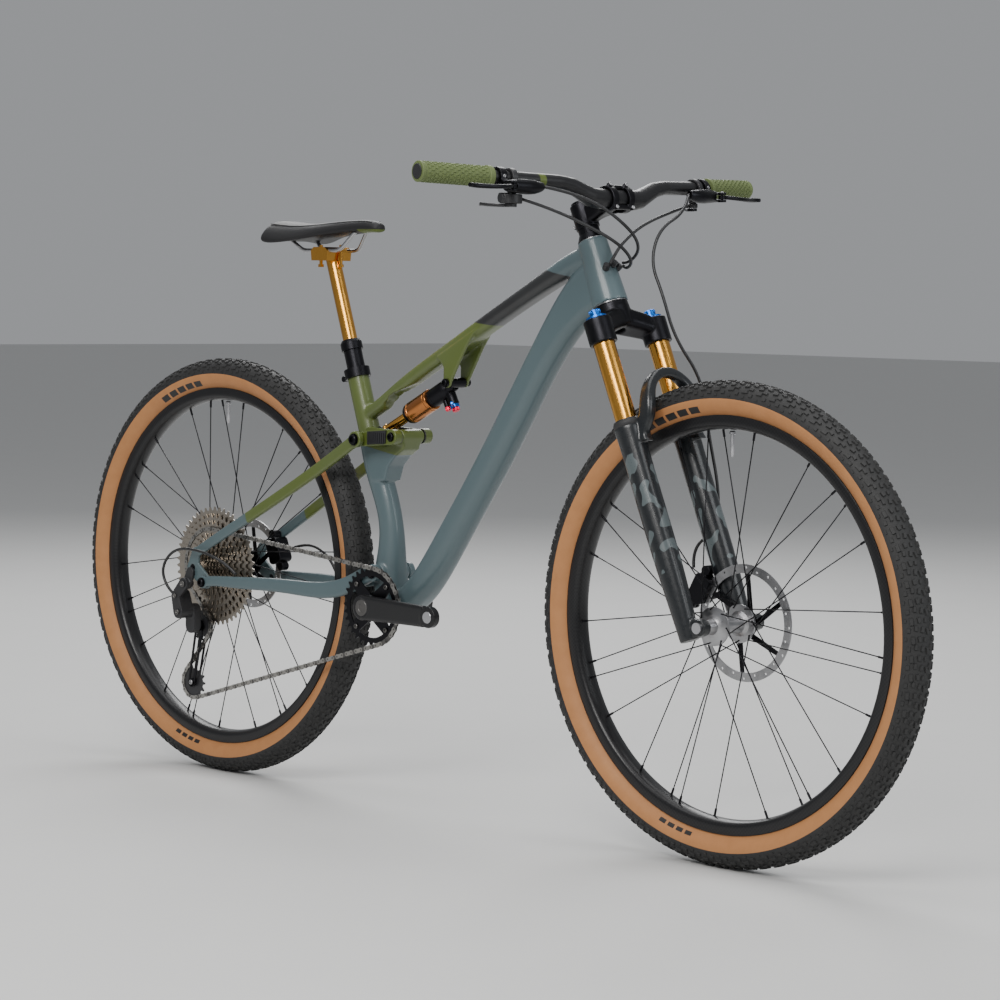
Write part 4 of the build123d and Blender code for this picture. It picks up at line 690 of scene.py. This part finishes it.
def wall_y(wall, radius):
    for (r0, y0), (r1, y1) in zip(wall, wall[1:]):
        if r0 <= radius <= r1:
            return y0 + (y1 - y0) * (radius - r0) / (r1 - r0)
    return wall[-1][1]


def rim(end, centre, body):
    """A rounded carbon rim with its valve."""
    solids = Solids()
    half = RIM_HALF
    outer = [(0.3045 - 0.0095 * sin(pi * k / 12), half * cos(pi * k / 12)) for k in range(13)]
    shoulder = [(RIM_R, half - 0.0023), (RIM_R, half - 0.0004), (RIM_R - 0.0008, half)]
    well = [(0.3115, 0.0025 - half), (0.3095, -0.008), (0.3095, 0.008), (0.3115, half - 0.0025)]
    other_shoulder = [(radius, -y) for radius, y in reversed(shoulder)]
    spun_ring(solids, centre, shoulder + outer + other_shoulder + well)
    valve = [(0, 3.2), (2, 5), (5, 5), (6, 3), (18, 3), (22, 2.6), (36, 2.4), (37, 1.9), (40, 1.9)]
    solids.turned_mm(centre + UP * 0.2935, -UP, valve, 1, 20)
    solids.build(f"{end}_rim_detail", body, "carbon bare_metal", (f"{end}_rim",),
                 sharp=40.0)


def spokes(end, centre, body, flanges):
    """Crossed spokes with elbows at the flanges and nipples at the rim."""
    solids = Solids()
    step = 2 * pi / SPOKES_PER_SIDE
    for flange_index, flange_y in enumerate(flanges):
        for number in range(SPOKES_PER_SIDE):
            lead = 1 if number % 2 else -1
            hub_angle = step * number + flange_index * step / 2
            rim_angle = hub_angle + lead * radians(62.0) - lead * step / 4
            start = centre + wheel_out(hub_angle) * FLANGE_R + ACROSS * (flange_y + lead * 0.0023)
            inner_y = 0.003 if flange_y > 0 else -0.003
            finish = centre + wheel_out(rim_angle) * SPOKE_RIM_R + ACROSS * inner_y
            heading = (finish - start).normalized()
            solids.rod(start, finish - heading * 0.011, 0.00095, 0, 8)
            solids.rod(start - ACROSS * lead * 0.0030, start + ACROSS * lead * 0.0011, 0.0011, 0, 8)
            nipple = [(0, 1.4), (1, 1.9), (12.5, 1.9), (14.5, 2.4)]
            solids.turned_mm(finish - heading * 0.0135, heading, nipple, 0, 8)
    solids.build(f"{end}_spokes_detail", body, "black_metal", (f"{end}_spokes",))


def hub(end, centre, body, low_y, high_y, flanges, metal):
    """A waisted hub shell with flanges, bearing caps and a rotor seat."""
    solids = Solids()
    right, left = flanges
    rise = FLANGE_R + 0.0035
    profile = [(low_y, 0.0068), (low_y, 0.0095), (low_y + 0.004, 0.0104), (right - 0.006, 0.0125),
               (right - 0.0022, 0.0190), (right - 0.0016, rise), (right + 0.0016, rise),
               (right + 0.0022, 0.0195), (right + 0.007, 0.0145), (0.0, 0.0122), (left - 0.007, 0.0150),
               (left - 0.0022, 0.0195), (left - 0.0016, rise), (left + 0.0016, rise), (left + 0.0022, 0.0200),
               (left + 0.008, 0.0150), (high_y - 0.004, 0.0110), (high_y, 0.0098), (high_y, 0.0068)]
    shifted = [(y - low_y, radius) for y, radius in profile]
    solids.turned(centre + ACROSS * low_y, ACROSS, shifted, 0, 64)
    solids.build(f"{end}_hub_detail", body, metal, (f"{end}_hub",), sharp=30.0)


def wheels():
    for end, centre, flanges, low_y, high_y, metal in (
            ("rear", REAR_HUB, (-0.019, 0.036), -0.0235, 0.0737, "black_metal"),
            ("front", FRONT_HUB, (-0.034, 0.027), -0.0549, 0.0549, "steel")):
        body = f"{end}_wheel"
        tyre(end, centre, body)
        rim(end, centre, body)
        spokes(end, centre, body, flanges)
        hub(end, centre, body, low_y, high_y, flanges, metal)


# ---- frame

def frames():
    softened("main_frame", 0.0022, 9, "main_frame_skin", "frame", "frame_paint")
    softened("chainstay", 0.0016, 5, "chainstay_skin", "chainstay_arm", "slate")
    softened("seatstay", 0.0014, 4, "seatstay_skin", "seatstay_arm", "stay_paint")
    softened("fork_lowers", 0.0018, 5, "fork_lowers_skin", "fork_lower", "fork_paint")
    softened("fork_crown", 0.0014, 4, "fork_crown_skin", "steering", "black_metal")
    softened("crank_arm_right", 0.0013, 4, "crank_right_skin", "crankset", "carbon")
    softened("crank_arm_left", 0.0013, 4, "crank_left_skin", "crankset", "carbon")
    softened("rocker_link", 0.0010, 3, "rocker_skin", "rocker", "rocker")


# ---- chain and derailleur

def pitch_radius(teeth):
    return CHAIN_PITCH / (2 * sin(pi / teeth))


def flat_place(point):
    """A place of the side view as X and Z."""
    return (point.x, point.z)


def tangent_run(first, first_r, second, second_r):
    """Where straight chain leaves one sprocket and meets the next, its direction and length."""
    dx, dz = second[0] - first[0], second[1] - first[1]
    heading = atan2(dz, dx) + asin((first_r - second_r) / hypot(dx, dz))
    unit = (cos(heading), sin(heading))
    leaves = (first[0] + first_r * unit[1], first[1] - first_r * unit[0])
    meets = (second[0] + second_r * unit[1], second[1] - second_r * unit[0])
    return leaves, meets, unit, hypot(meets[0] - leaves[0], meets[1] - leaves[1])


RING = flat_place(CRANK_CENTRE)
COGS = flat_place(REAR_HUB)
UPPER = flat_place(UPPER_PULLEY)
LOWER = flat_place(LOWER_PULLEY)
RING_R = pitch_radius(RING_TEETH)
COG_R = pitch_radius(COG_TEETH)
UPPER_R, LOWER_R = (pitch_radius(teeth) for teeth in PULLEY_TEETH)
TOP_RUN = tangent_run(RING, RING_R, COGS, COG_R)
GUIDE_RUN = tangent_run(COGS, COG_R, UPPER, -UPPER_R)
CAGE_RUN = tangent_run(UPPER, -UPPER_R, LOWER, LOWER_R)
BOTTOM_RUN = tangent_run(LOWER, LOWER_R, RING, RING_R)
LEAD = 0.031
SPLIT = 20.0


def angle_about(centre, place):
    return degrees(atan2(place[1] - centre[1], place[0] - centre[0]))


def arc_points(centre, radius, start, finish, y, steps=40):
    """Points round a sprocket between two angles in degrees."""
    middle = Vector((centre[0], y, centre[1]))
    angles = [radians(start + (finish - start) * k / steps) for k in range(steps + 1)]
    return [middle + wheel_out(angle) * radius for angle in angles]


def along_run(run, distance, y):
    """A place at a distance along a straight run from where it leaves its sprocket."""
    return Vector((run[0][0] + run[2][0] * distance, y, run[0][1] + run[2][1] * distance))


def evenly(points, spacing):
    """Places at equal steps along a path, as near the spacing as fits."""
    lengths = [0.0]
    for a, b in zip(points, points[1:]):
        lengths.append(lengths[-1] + (b - a).length)
    number = max(round(lengths[-1] / spacing), 1)
    places = []
    index = 0
    for k in range(number + 1):
        goal = lengths[-1] * k / number
        while index < len(points) - 2 and lengths[index + 1] < goal:
            index += 1
        span = max(lengths[index + 1] - lengths[index], 1e-9)
        places.append(points[index].lerp(points[index + 1], (goal - lengths[index]) / span))
    return places


def chain_links(solids, points, material=0):
    """Inner and outer plates, rollers and pins along a path."""
    joints = evenly(points, CHAIN_PITCH)
    for number, (a, b) in enumerate(zip(joints, joints[1:])):
        low, high = ((0.00115, 0.00175), (0.00175, 0.00240))[number % 2]
        heading = (b - a).normalized()
        up = heading.cross(ACROSS).normalized()
        outline = []
        for centre, start, waist in ((a, 90, -1), (b, -90, 1)):
            for k in range(6):
                outline.append(centre + spin(heading, up, radians(start + 36 * k)) * 0.0040)
            outline.append((a + b) / 2 + up * waist * 0.0030)
        for side in (-1, 1):
            shifted = [point + ACROSS * side * low for point in outline]
            solids.prism(shifted, ACROSS * side * (high - low), material + number % 2)
    for joint in joints:
        for half, radius, segments in ((0.0026, 0.0018, 8), (0.0011, 0.0037, 10)):
            solids.rod(joint - ACROSS * half, joint + ACROSS * half, radius, material, segments)


def chain_piece(name, body, points, node):
    links = Solids()
    chain_links(links, points)
    links.build(name, body, "dark_steel chain_steel", (node,), smooth=False)


def chain():
    """The chain's links on three of the bodies that carry it; the derailleur cage holds the rest."""
    ring_low = angle_about(RING, BOTTOM_RUN[1])
    points = arc_points(RING, RING_R, ring_low + SPLIT + 0.6, angle_about(RING, TOP_RUN[0]), RING_Y)
    points += [along_run(TOP_RUN, LEAD, RING_Y), along_run(TOP_RUN, TOP_RUN[3] - 0.037, COG_Y)]
    chain_piece("chain_top_links", "chain_top_run", points, "chain_top")

    points = [along_run(TOP_RUN, TOP_RUN[3] - 0.029, COG_Y)]
    cog_low = angle_about(COGS, GUIDE_RUN[0]) % 360
    points += arc_points(COGS, COG_R, angle_about(COGS, TOP_RUN[1]), cog_low, COG_Y)
    points.append(along_run(GUIDE_RUN, GUIDE_RUN[3] - 0.004, COG_Y))
    chain_piece("chain_cassette_links", "seatstay_arm", points, "chain_cassette")

    points = [along_run(BOTTOM_RUN, LEAD + 0.003, COG_Y),
              along_run(BOTTOM_RUN, BOTTOM_RUN[3] - LEAD, RING_Y)]
    points += arc_points(RING, RING_R, ring_low, ring_low + SPLIT - 3, RING_Y)
    chain_piece("chain_bottom_links", "chain_bottom_run", points, "chain_bottom")


def stadium(first_r, second_r, y, steps=10):
    """The outline of a plate with round ends about the two pulleys."""
    heading = atan2(LOWER[1] - UPPER[1], LOWER[0] - UPPER[0])
    outline = []
    for centre, radius, start in ((LOWER, second_r, -pi / 2), (UPPER, first_r, pi / 2)):
        middle = Vector((centre[0], y, centre[1]))
        outline += [middle + wheel_out(heading + start + pi * k / steps) * radius for k in range(steps + 1)]
    return outline


def windowed_plate(solids, outer, inner, thick):
    """A plate between two outlines of equal length, thickened along Y."""
    shift = ACROSS * thick
    solids.rings([outer, [point + shift for point in outer], [point + shift for point in inner], inner],
                 closed=True)


def cage_chain():
    """Where the chain runs through the cage, round both pulleys."""
    begin = angle_about(UPPER, CAGE_RUN[0])
    sweep = (angle_about(UPPER, GUIDE_RUN[1]) - begin) % 360
    points = arc_points(UPPER, UPPER_R, begin, begin + sweep, COG_Y)[::-1]
    begin = angle_about(LOWER, CAGE_RUN[1])
    sweep = (angle_about(LOWER, BOTTOM_RUN[0]) - begin) % 360
    points += arc_points(LOWER, LOWER_R, begin, begin + sweep, COG_Y)
    return points + [along_run(BOTTOM_RUN, LEAD - 0.004, COG_Y)]


def derailleur():
    """Windowed cage plates with pulley bolts and the chain that runs through them, and the body."""
    cage = Solids()
    pulleys = [Vector((place[0], 0, place[1])) for place in (UPPER, LOWER)]
    for side in (-1, 1):
        y = COG_Y + side * 0.0046
        windowed_plate(cage, stadium(0.011, 0.009, y), stadium(0.0060, 0.0045, y), side * 0.0014)
        for place in pulleys:
            cage.turned_mm(place + ACROSS * y, ACROSS * side, [(-0.4, 7.8), (1, 7.8), (1.4, 7)], 0, 28)
            cage.bolt(place + ACROSS * (y + side * 0.0014), ACROSS * side, 0.0045, 3)
    for place in pulleys:
        cage.rod(place + ACROSS * (COG_Y - 0.0060), place + ACROSS * (COG_Y + 0.0060), 0.0028, 3, 12)
    cage.turned_mm(pulleys[0] + ACROSS * -0.0497, ACROSS, [(0, 8.6), (0.4, 9), (6, 9)])
    chain_links(cage, cage_chain(), 1)
    cage.build("derailleur_cage_detail", "derailleur_arm", "black_metal dark_steel chain_steel steel",
               ("derailleur_cage",), smooth=False)
    softened("derailleur_body", 0.0010, 3, "derailleur_skin", "seatstay_arm", "black_plastic")
    bolts = Solids()
    for x, z, radius in ((-0.590, 0.341, 0.0058), (-0.612, 0.318, 0.0045), (-0.604, 0.290, 0.0050)):
        bolts.bolt(Vector((x, -0.0938, z)), -ACROSS, radius)
    bolts.build("derailleur_bolts", "seatstay_arm", "dark_steel")


# ---- shock


def knurls(solids, place, radius, number, length, material=1):
    """Small ribs round a dial on the shock."""
    for angle in full_turn(number):
        start = place + spin(SHOCK_DOWN, ACROSS, angle) * radius
        solids.rod(start, start + SHOCK_BELOW * length, 0.0005, material, 6)


def shock_detail():
    """Copper can and shaft, black valve head and housing, coloured dials and lever."""
    body = Solids()
    body.turned_mm(shock(0, 0, -0.0167), ACROSS,
                   [(0, 4.2), (0, 7.8), (0.8, 8.5), (32.6, 8.5), (33.4, 7.8), (33.4, 4.2)], 1, 36)
    head = [(0, 10.2), (2, 11), (12, 11), (14, 12.6), (21, 15.6), (24, 16), (50, 16), (51, 15.2), (57, 15.2)]
    body.turned_mm(shock(0.005), SHOCK_DOWN, head, 1, 56)
    can = [(0, 15.4), (0.5, 17.9), (1.5, 18.5), (5, 18.5), (5.5, 17.8), (7, 17.8), (7.5, 18.5), (47, 18.5),
           (47.6, 17.9), (49, 17.9), (49.6, 18.4), (54, 18.0)]
    body.turned_mm(shock(0.0615), SHOCK_DOWN, can, 0, 64)
    seal = [(0, 17.4), (1, 18.0), (4, 17.6), (8, 15.5), (10.5, 13), (11, 9.2)]
    body.turned_mm(shock(0.1150), SHOCK_DOWN, seal, 1, 56)
    valve = [(0, 8.8), (20, 8.8), (21, 9.0), (23.5, 9.0), (24.2, 8.2)]
    body.turned_mm(shock(0.020, 0.006), SHOCK_BELOW, valve, 1, 36)
    body.turned_mm(shock(0.036, 0.013), SHOCK_BELOW, [(0, 4.4), (14, 4.4), (14.4, 4.0)], 1, 24)
    rebound = [(0, 4.2), (0.6, 4.5), (6.2, 4.5), (7.0, 3.8), (7.0, 0)]
    body.turned_mm(shock(0.036, 0.0268), SHOCK_BELOW, rebound, 2, 24)
    knurls(body, shock(0.036, 0.0278), 0.0043, 12, 0.005, 2)
    body.build("shock_body_detail", "shock_body", "copper black_metal red_metal",
               ("shock_body",), sharp=30.0)

    shaft = Solids()
    stroke_part = [(0, 8.0), (0.5, 8.5), (63.5, 8.5), (65.5, 10), (71.5, 10)]
    shaft.turned_mm(shock(0.1145), SHOCK_DOWN, stroke_part, 0, 48)
    eye = [(0, 5), (0, 9.8), (0.8, 10.5), (21.2, 10.5), (22, 9.8), (22, 5)]
    shaft.turned_mm(SHOCK_LOWER - ACROSS * 0.011, ACROSS, eye, 1, 40)
    shaft.rod(SHOCK_LOWER - ACROSS * 0.0256, SHOCK_LOWER + ACROSS * 0.0256, 0.0055, 1, 20)
    shaft.build("shock_shaft_detail", "shock_shaft", "gold black_metal", ("shock_shaft",),
                sharp=30.0)

    lever = Solids()
    lever.turned_mm(shock(0.020, 0.0305), SHOCK_BELOW, [(0, 7.4), (0.5, 8.0), (5.0, 8.0), (5.5, 7.4)])
    root, tip = shock(0.018, 0.0334, -0.006), shock(0.006, 0.0334, -0.020)
    lever.turned_mm(root, tip - root, [(0, 2.4), (14, 2.4), (17.6, 2.8), (18.6, 1.6)], 0, 16)
    dial = [(0, 5.6), (0.4, 6), (5.4, 6), (6, 5.2), (6, 0)]
    lever.turned_mm(shock(0.020, 0.0360), SHOCK_BELOW, dial, 1, 28)
    knurls(lever, shock(0.020, 0.0368), 0.0058, 14, 0.0042)
    lever.build("shock_lever_detail", "shock_lever", "blue_metal red_metal", ("shock_lever",),
                sharp=30.0)


# ---- saddle

# Each cross section from nose to tail, in mm: X, Z of its middle, half depth and half width.
SADDLE = ((-189, 968, 7, 11), (-205, 971, 9, 16), (-225, 972, 10, 19), (-270, 969, 12, 25),
          (-330, 964, 12, 40), (-370, 962, 14, 58), (-405, 963, 17, 67), (-425, 965, 17, 66),
          (-434, 967, 12, 58))
SEAM_ANGLES = (52, 128)
SADDLE_POINTS = 24


def saddle_point(section, angle):
    """A point on the cover at an angle round its cross section: crowned top, channel and drooping wings."""
    x, z, deep, wide = section
    share = cos(angle)
    height = deep * sin(angle)
    if sin(angle) > 0:
        channel = max(0.0, 1 - (share / 0.30) ** 2)
        height += 2.0 - 1.6 * channel * min(1.0, wide / 40)
    height -= (0.06 + 0.0032 * wide) * wide * abs(share) ** 3
    return Vector((x, wide * share, z + height)) * MM


def saddle():
    """The padded cover with two raised seams."""
    solids = Solids()
    around = full_turn(SADDLE_POINTS)
    solids.rings([[saddle_point(section, angle) for angle in around] for section in SADDLE])
    cover = solids.build("saddle_cushion", "seatpost", "saddle_cover", ("saddle",))
    modifier = cover.modifiers.new("rounded", "SUBSURF")
    modifier.levels = 3
    modifier.render_levels = 3
    seams = Solids()
    for angle in SEAM_ANGLES:
        points = [saddle_point(section, radians(angle)) for section in SADDLE[1:-1]]
        tube_on_path(seams, nurbs_points(points, 6), 0.0008, 8)
    seams.build("saddle_seams", "seatpost", "print_black")


# ---- bar, grips and small parts


BAR_BEND = Vector((0.328, 0.120, 1.034))
BAR_END = Vector((0.283, 0.380, 1.041))
PAD_ROWS = 17
PADS_AROUND = 14


def bar_point(side, y):
    share = (y - BAR_BEND.y) / (BAR_END.y - BAR_BEND.y)
    point = BAR_BEND.lerp(BAR_END, share)
    return Vector((point.x, side * y, point.z))


def bar_axes(side):
    """Outward, forward and upward directions at a grip."""
    out = (bar_point(side, 0.300) - bar_point(side, 0.200)).normalized()
    ahead = (Vector((1, 0, 0)) - out * out.x).normalized()
    return out, ahead, out.cross(ahead) * -side


def at_bar(side, y, ahead=0.0, up=0.0):
    _, forward, upward = bar_axes(side)
    return bar_point(side, y) + forward * ahead + upward * up


def grips():
    """Rubber grips with rows of raised pads, a collar and an end plug."""
    plug = [(-4, 10.8), (0, 10.8), (0.4, 11.5), (1.6, 11.0), (2, 0)]
    pad = (0.0054, 0.0048, 0.0018)
    for side, hand in ((-1, "right"), (1, "left")):
        out, ahead, up = bar_axes(side)
        start = at_bar(side, 0.250)
        length = (at_bar(side, 0.3793) - start).length
        end = length / MM
        solids = Solids()
        core = [(0, 11.3), (0, 16.4), (1, 17), (8, 17), (9, 16), (9.5, 14.7), (end - 6, 14.7),
                (end - 5, 15.8), (end - 1, 16), (end, 15.2), (end, 11.3)]
        solids.turned_mm(start, out, core, 0, 48)
        for row in range(PAD_ROWS):
            along = start + out * (0.0145 + (length - 0.026) * row / (PAD_ROWS - 1))
            for angle in full_turn(PADS_AROUND, 0.5 * (row % 2)):
                normal = spin(ahead, up, angle)
                solids.block(along + normal * 0.0150, (out, out.cross(normal), normal), pad, 0, 0.75)
        solids.turned_mm(at_bar(side, 0.3795), out, plug, 1)
        solids.build(f"{hand}_grip", "steering", "grip black_plastic",
                     ("grips",) if side < 0 else (), sharp=30.0)


def cockpit():
    softened("handlebar", 0.0015, 8, "handlebar_skin", "steering", "bar")
    softened("stem", 0.0011, 2, "stem_skin", "steering", "black_metal")
    softened("brake_bodies", 0.0009, 3, "brake_body_skins", "steering", "black_metal")
    softened("control_bodies", 0.0009, 3, "control_skins", "steering", "black_plastic")
    bolts = Solids()
    for along in (0.668, 0.706):
        for y in (-0.0185, 0.0185):
            bolts.bolt(steer(along, 0.0828, y), STEER_AHEAD, 0.0032)
    for along in (0.677, 0.697):
        bolts.bolt(steer(along, -0.019, -0.0078), -ACROSS, 0.0032)
    bolts.bolt(steer(0.7125), STEER_UP, 0.0042)
    caps = Solids()
    for side in (-1, 1):
        out, ahead, up = bar_axes(side)
        bolts.bolt(at_bar(side, 0.234, 0.0150, 0.0020), ahead, 0.0026)
        bolts.bolt(at_bar(side, 0.236, 0.040, -0.0063), up, 0.0028)
        caps.block(at_bar(side, 0.204, 0.025, -0.0035), (out, ahead, up), (0.040, 0.0125, 0.0030), 0, 0.92)
    bolts.build("cockpit_bolts", "steering", "steel")
    lids = caps.build("reservoir_caps", "steering", "black_plastic", smooth=False)
    modifier = lids.modifiers.new("soft_edges", "BEVEL")
    modifier.width = 0.0012
    modifier.segments = 3
    modifier.limit_method = "ANGLE"
    modifier.angle_limit = radians(35)
    modifier.harden_normals = False
    grips()


def hex_caps():
    """Socket-head caps on the pivots, on the bodies that hold them."""
    for name, body, places in (
            ("frame_pivot_caps", "frame", ((MAIN_PIVOT, 0.0452, 0.0080), (ROCKER_PIVOT, 0.0425, 0.0068),
                                           (SHOCK_UPPER, 0.0262, 0.0058))),
            ("stay_pivot_caps", "seatstay_arm", ((STAY_PIVOT, 0.0592, 0.0085),
                                                 (HORST_PIVOT, 0.0896, 0.0072)))):
        caps = Solids()
        for place, reach, radius in places:
            for side in (-1, 1):
                caps.bolt(Vector((place.x, side * reach, place.z)), ACROSS * side, radius)
        caps.build(name, body, "black_metal", sharp=30.0)


def crank_fittings():
    """Pedal inserts, spindle cap and chainring bolts."""
    solids = Solids()
    insert = [(0, 7.3), (0, 9.6), (13.6, 9.6), (14.0, 9.2), (14.0, 7.3)]
    cap = [(0, 13.8), (0.8, 13.8), (1.4, 13.0), (1.4, 7), (0.6, 6.4), (0.6, 0)]
    for side in (-1, 1):
        eye = Vector((CRANK_CENTRE.x - side * CRANK_LENGTH, side * 0.0743, CRANK_CENTRE.z))
        solids.turned_mm(eye, ACROSS * side, insert, 0, 40)
        hub = Vector((CRANK_CENTRE.x, side * 0.0735, CRANK_CENTRE.z))
        solids.turned_mm(hub, ACROSS * side, cap, 1, 40)
    ring = Vector((CRANK_CENTRE.x, -0.0512, CRANK_CENTRE.z))
    for angle in full_turn(4, 0.5):
        solids.bolt(ring + wheel_out(angle) * 0.0505, -ACROSS, 0.0042, 1)
    solids.build("crank_fittings", "crankset", "bare_metal dark_steel", sharp=30.0)


def fork_trim():
    """Wiper seals on the lower legs and knurled dials on the crown's top caps."""
    seals = Solids()
    dials = Solids()
    seal = [(0, 21.4), (0.6, 22.4), (7, 22.4), (8, 21.8), (10.5, 20.4), (11.8, 18.6), (12, 17.3)]
    for side in (-1, 1):
        seals.turned_mm(steer(0.3290, 0.018, side * 0.064), STEER_UP, seal, 0, 56)
        base = steer(0.5165, 0.018, side * 0.064)
        dials.turned_mm(base, STEER_UP, [(0, 8.6), (0.5, 9.0), (4.0, 9.0), (4.6, 8.2), (4.6, 0)])
        for angle in full_turn(16):
            rib = base + spin(STEER_AHEAD, ACROSS, angle) * 0.0088
            dials.rod(rib + STEER_UP * 0.0006, rib + STEER_UP * 0.0038, 0.0006, 0, 6)
    seals.build("fork_seals", "fork_lower", "rubber")
    dials.build("fork_dials", "steering", "blue_metal", sharp=30.0)


def calipers():
    """Softened caliper bodies, each with a piston cap on its outer side."""
    rows = (("front", "fork_lower", (0.495, 0.0555, 0.416)),
            ("rear", "seatstay_arm", (-0.511, 0.0745, 0.398)))
    for end, body, _ in rows:
        softened(f"{end}_caliper", 0.0010, 3, f"{end}_caliper_skin", body, "black_metal")
    profile = [(0, 9.5), (1.4, 9.5), (2.0, 8.8), (2.0, 4.0), (1.2, 3.6), (1.2, 0)]
    for end, body, place in rows:
        cap = Solids()
        cap.turned_mm(Vector(place), ACROSS, profile)
        cap.build(f"{end}_caliper_piston", body, "black_metal", sharp=30.0)


# ---- hoses

HOSE_R = 0.0025


def hose_piece(name, routes, replaced):
    """Smooth round hoses along their routes, set in place on no body."""
    solids = Solids()
    for route in routes:
        tube_on_path(solids, nurbs_points(route, 12), HOSE_R, 12)
    obj = solids.build(name, None, "hose", (replaced,))
    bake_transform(obj)


def hoses():
    """Every hose repeats the route of its CAD tube."""
    bar_routes = [
        [at_bar(-1, 0.1664, 0.020, -0.010), (0.374, -0.110, 1.014), (0.401, -0.045, 0.970),
         (0.388, 0.002, 0.938), (0.352, 0.019, 0.914), steer(0.5955, 0.0343, 0.015)],
        [at_bar(-1, 0.1958, 0.006, -0.030), (0.346, -0.150, 0.992), (0.388, -0.058, 0.948),
         (0.380, -0.006, 0.918), (0.352, 0.011, 0.903), steer(0.590, 0.0343, 0.015)],
        [at_bar(1, 0.2024, -0.002, -0.028), (0.350, 0.130, 1.000), (0.344, 0.055, 0.975),
         (0.341, 0.010, 0.944), (0.340, -0.008, 0.922), steer(0.5925, 0.0343, -0.015)],
    ]
    hose_piece("bar_hoses", bar_routes, "steering_hoses")
    front = [at_bar(1, 0.1654, 0.020, -0.010), (0.378, 0.118, 0.996), (0.372, 0.062, 0.968),
             (0.370, 0.046, 0.915), (0.398, 0.044, 0.866), (0.418, 0.050, 0.800), (0.446, 0.086, 0.735),
             (0.454, 0.092, 0.660), (0.484, 0.092, 0.550), (0.472, 0.088, 0.498), (0.456, 0.060, 0.474),
             (0.470, 0.047, 0.446)]
    hose_piece("front_hose", [front], "front_brake_hose")
    brake = [(-0.352, 0.056, 0.369), (-0.366, 0.057, 0.392), (-0.410, 0.060, 0.414),
             (-0.455, 0.062, 0.412), (-0.482, 0.060, 0.402)]
    shift = [(-0.470, -0.074, 0.366), (-0.488, -0.080, 0.384), (-0.540, -0.094, 0.404),
             (-0.612, -0.094, 0.404), (-0.654, -0.090, 0.368), (-0.644, -0.089, 0.334),
             (-0.625, -0.088, 0.322)]
    hose_piece("stay_hoses", [brake, shift], "rear_hoses")


# ---- finishes of the CAD nodes that stay

CAD_FINISH = {
    "steel": "headset_bearings saddle_rails",
    "bare_metal": "front_axle",
    "gold": "stanchions dropper_inner",
    "nickel": "cassette",
    "blue_metal": "fork_top_caps",
    "rear_rotor": "rear_rotor",
    "front_rotor": "front_rotor",
    "black_metal": "bottom_bracket_cups frame_pivot_axles seat_clamp dropper_outer chainring"
                   " stay_pivot_bolts rear_axle headset_spacers right_brake_lever left_brake_lever"
                   " dropper_lever",
    "black_plastic": "cable_ports upper_pulley lower_pulley shift_lever rocker_covers",
}


def finish_cad_nodes():
    for material, nodes in CAD_FINISH.items():
        for node in nodes.split():
            slots = NODES[node].data.materials
            slots.clear()
            slots.append(MATERIALS[material])


# ---- stage

CAMERA_PLACE = (3.327, -3.343, 0.867)
CAMERA_YAW = radians(44.02)
CAMERA_PITCH = radians(4.16)
CAMERA_ROLL = radians(0.95)
LENS = 103.4
FLOOR_GREY = (0.62, 0.62, 0.61)


def camera():
    """The photograph's place, angle, slight roll and lens."""
    data = bpy.data.cameras.new("camera")
    data.lens = LENS
    data.sensor_width = 36.0
    data.clip_end = 60.0
    obj = placed("camera", data)
    right = spin(AHEAD, ACROSS, CAMERA_YAW)
    view = spin(spin(ACROSS, -AHEAD, CAMERA_YAW), -UP, CAMERA_PITCH)
    up = right.cross(view)
    axes = (spin(right, up, CAMERA_ROLL), spin(up, -right, CAMERA_ROLL), -view)
    turn = Matrix(axes).transposed().to_4x4()
    obj.matrix_world = Matrix.Translation(CAMERA_PLACE) @ turn
    bpy.context.scene.camera = obj


def area_light(name, place, target, size, power, colour=(1, 1, 1)):
    data = bpy.data.lights.new(name, "AREA")
    data.shape = "RECTANGLE"
    data.size, data.size_y = size
    data.energy = power
    data.color = colour
    obj = placed(name, data)
    obj.location = place
    obj.rotation_euler = (Vector(target) - Vector(place)).to_track_quat("-Z", "Y").to_euler()


def lights():
    """Four soft panels under an even pale sky."""
    area_light("key", (1.6, -3.4, 3.2), (0, 0, 0.5), (2.6, 1.8), 150.0, (1.0, 0.98, 0.96))
    area_light("fill", (4.2, 0.6, 2.2), (0.2, 0, 0.5), (2.2, 2.2), 55.0, (0.95, 0.98, 1.0))
    area_light("back", (-2.8, 2.6, 3.4), (0, 0, 0.5), (3.0, 2.0), 120.0)
    area_light("top", (0, 0, 4.2), (0, 0, 0), (3.5, 3.5), 90.0)
    world = bpy.data.worlds.new("studio")
    world.use_nodes = True
    sky = world.node_tree.nodes["Background"].inputs
    sky["Color"].default_value = (0.80, 0.82, 0.85, 1)
    sky["Strength"].default_value = 0.40
    bpy.context.scene.world = world


def floor():
    """A plain pale floor out to the horizon."""
    mesh = bpy.data.meshes.new("floor")
    bm = bmesh.new()
    bmesh.ops.create_grid(bm, x_segments=1, y_segments=1, size=30.0)
    bm.to_mesh(mesh)
    bm.free()
    obj = placed("floor", mesh)
    tree, shader = new_material("floor", FLOOR_GREY, 0.75)
    tone = remap(tree, noise(tree, 6.0, 4.0), 0.3, 0.7, 0.0, 0.15)
    tint(tree, shader, tone, FLOOR_GREY, (0.56, 0.56, 0.56))
    obj.data.materials.append(MATERIALS["floor"])


finish_cad_nodes()
wheels()
frames()
chain()
derailleur()
shock_detail()
saddle()
cockpit()
hex_caps()
crank_fittings()
fork_trim()
calipers()
hoses()
camera()
lights()
floor()
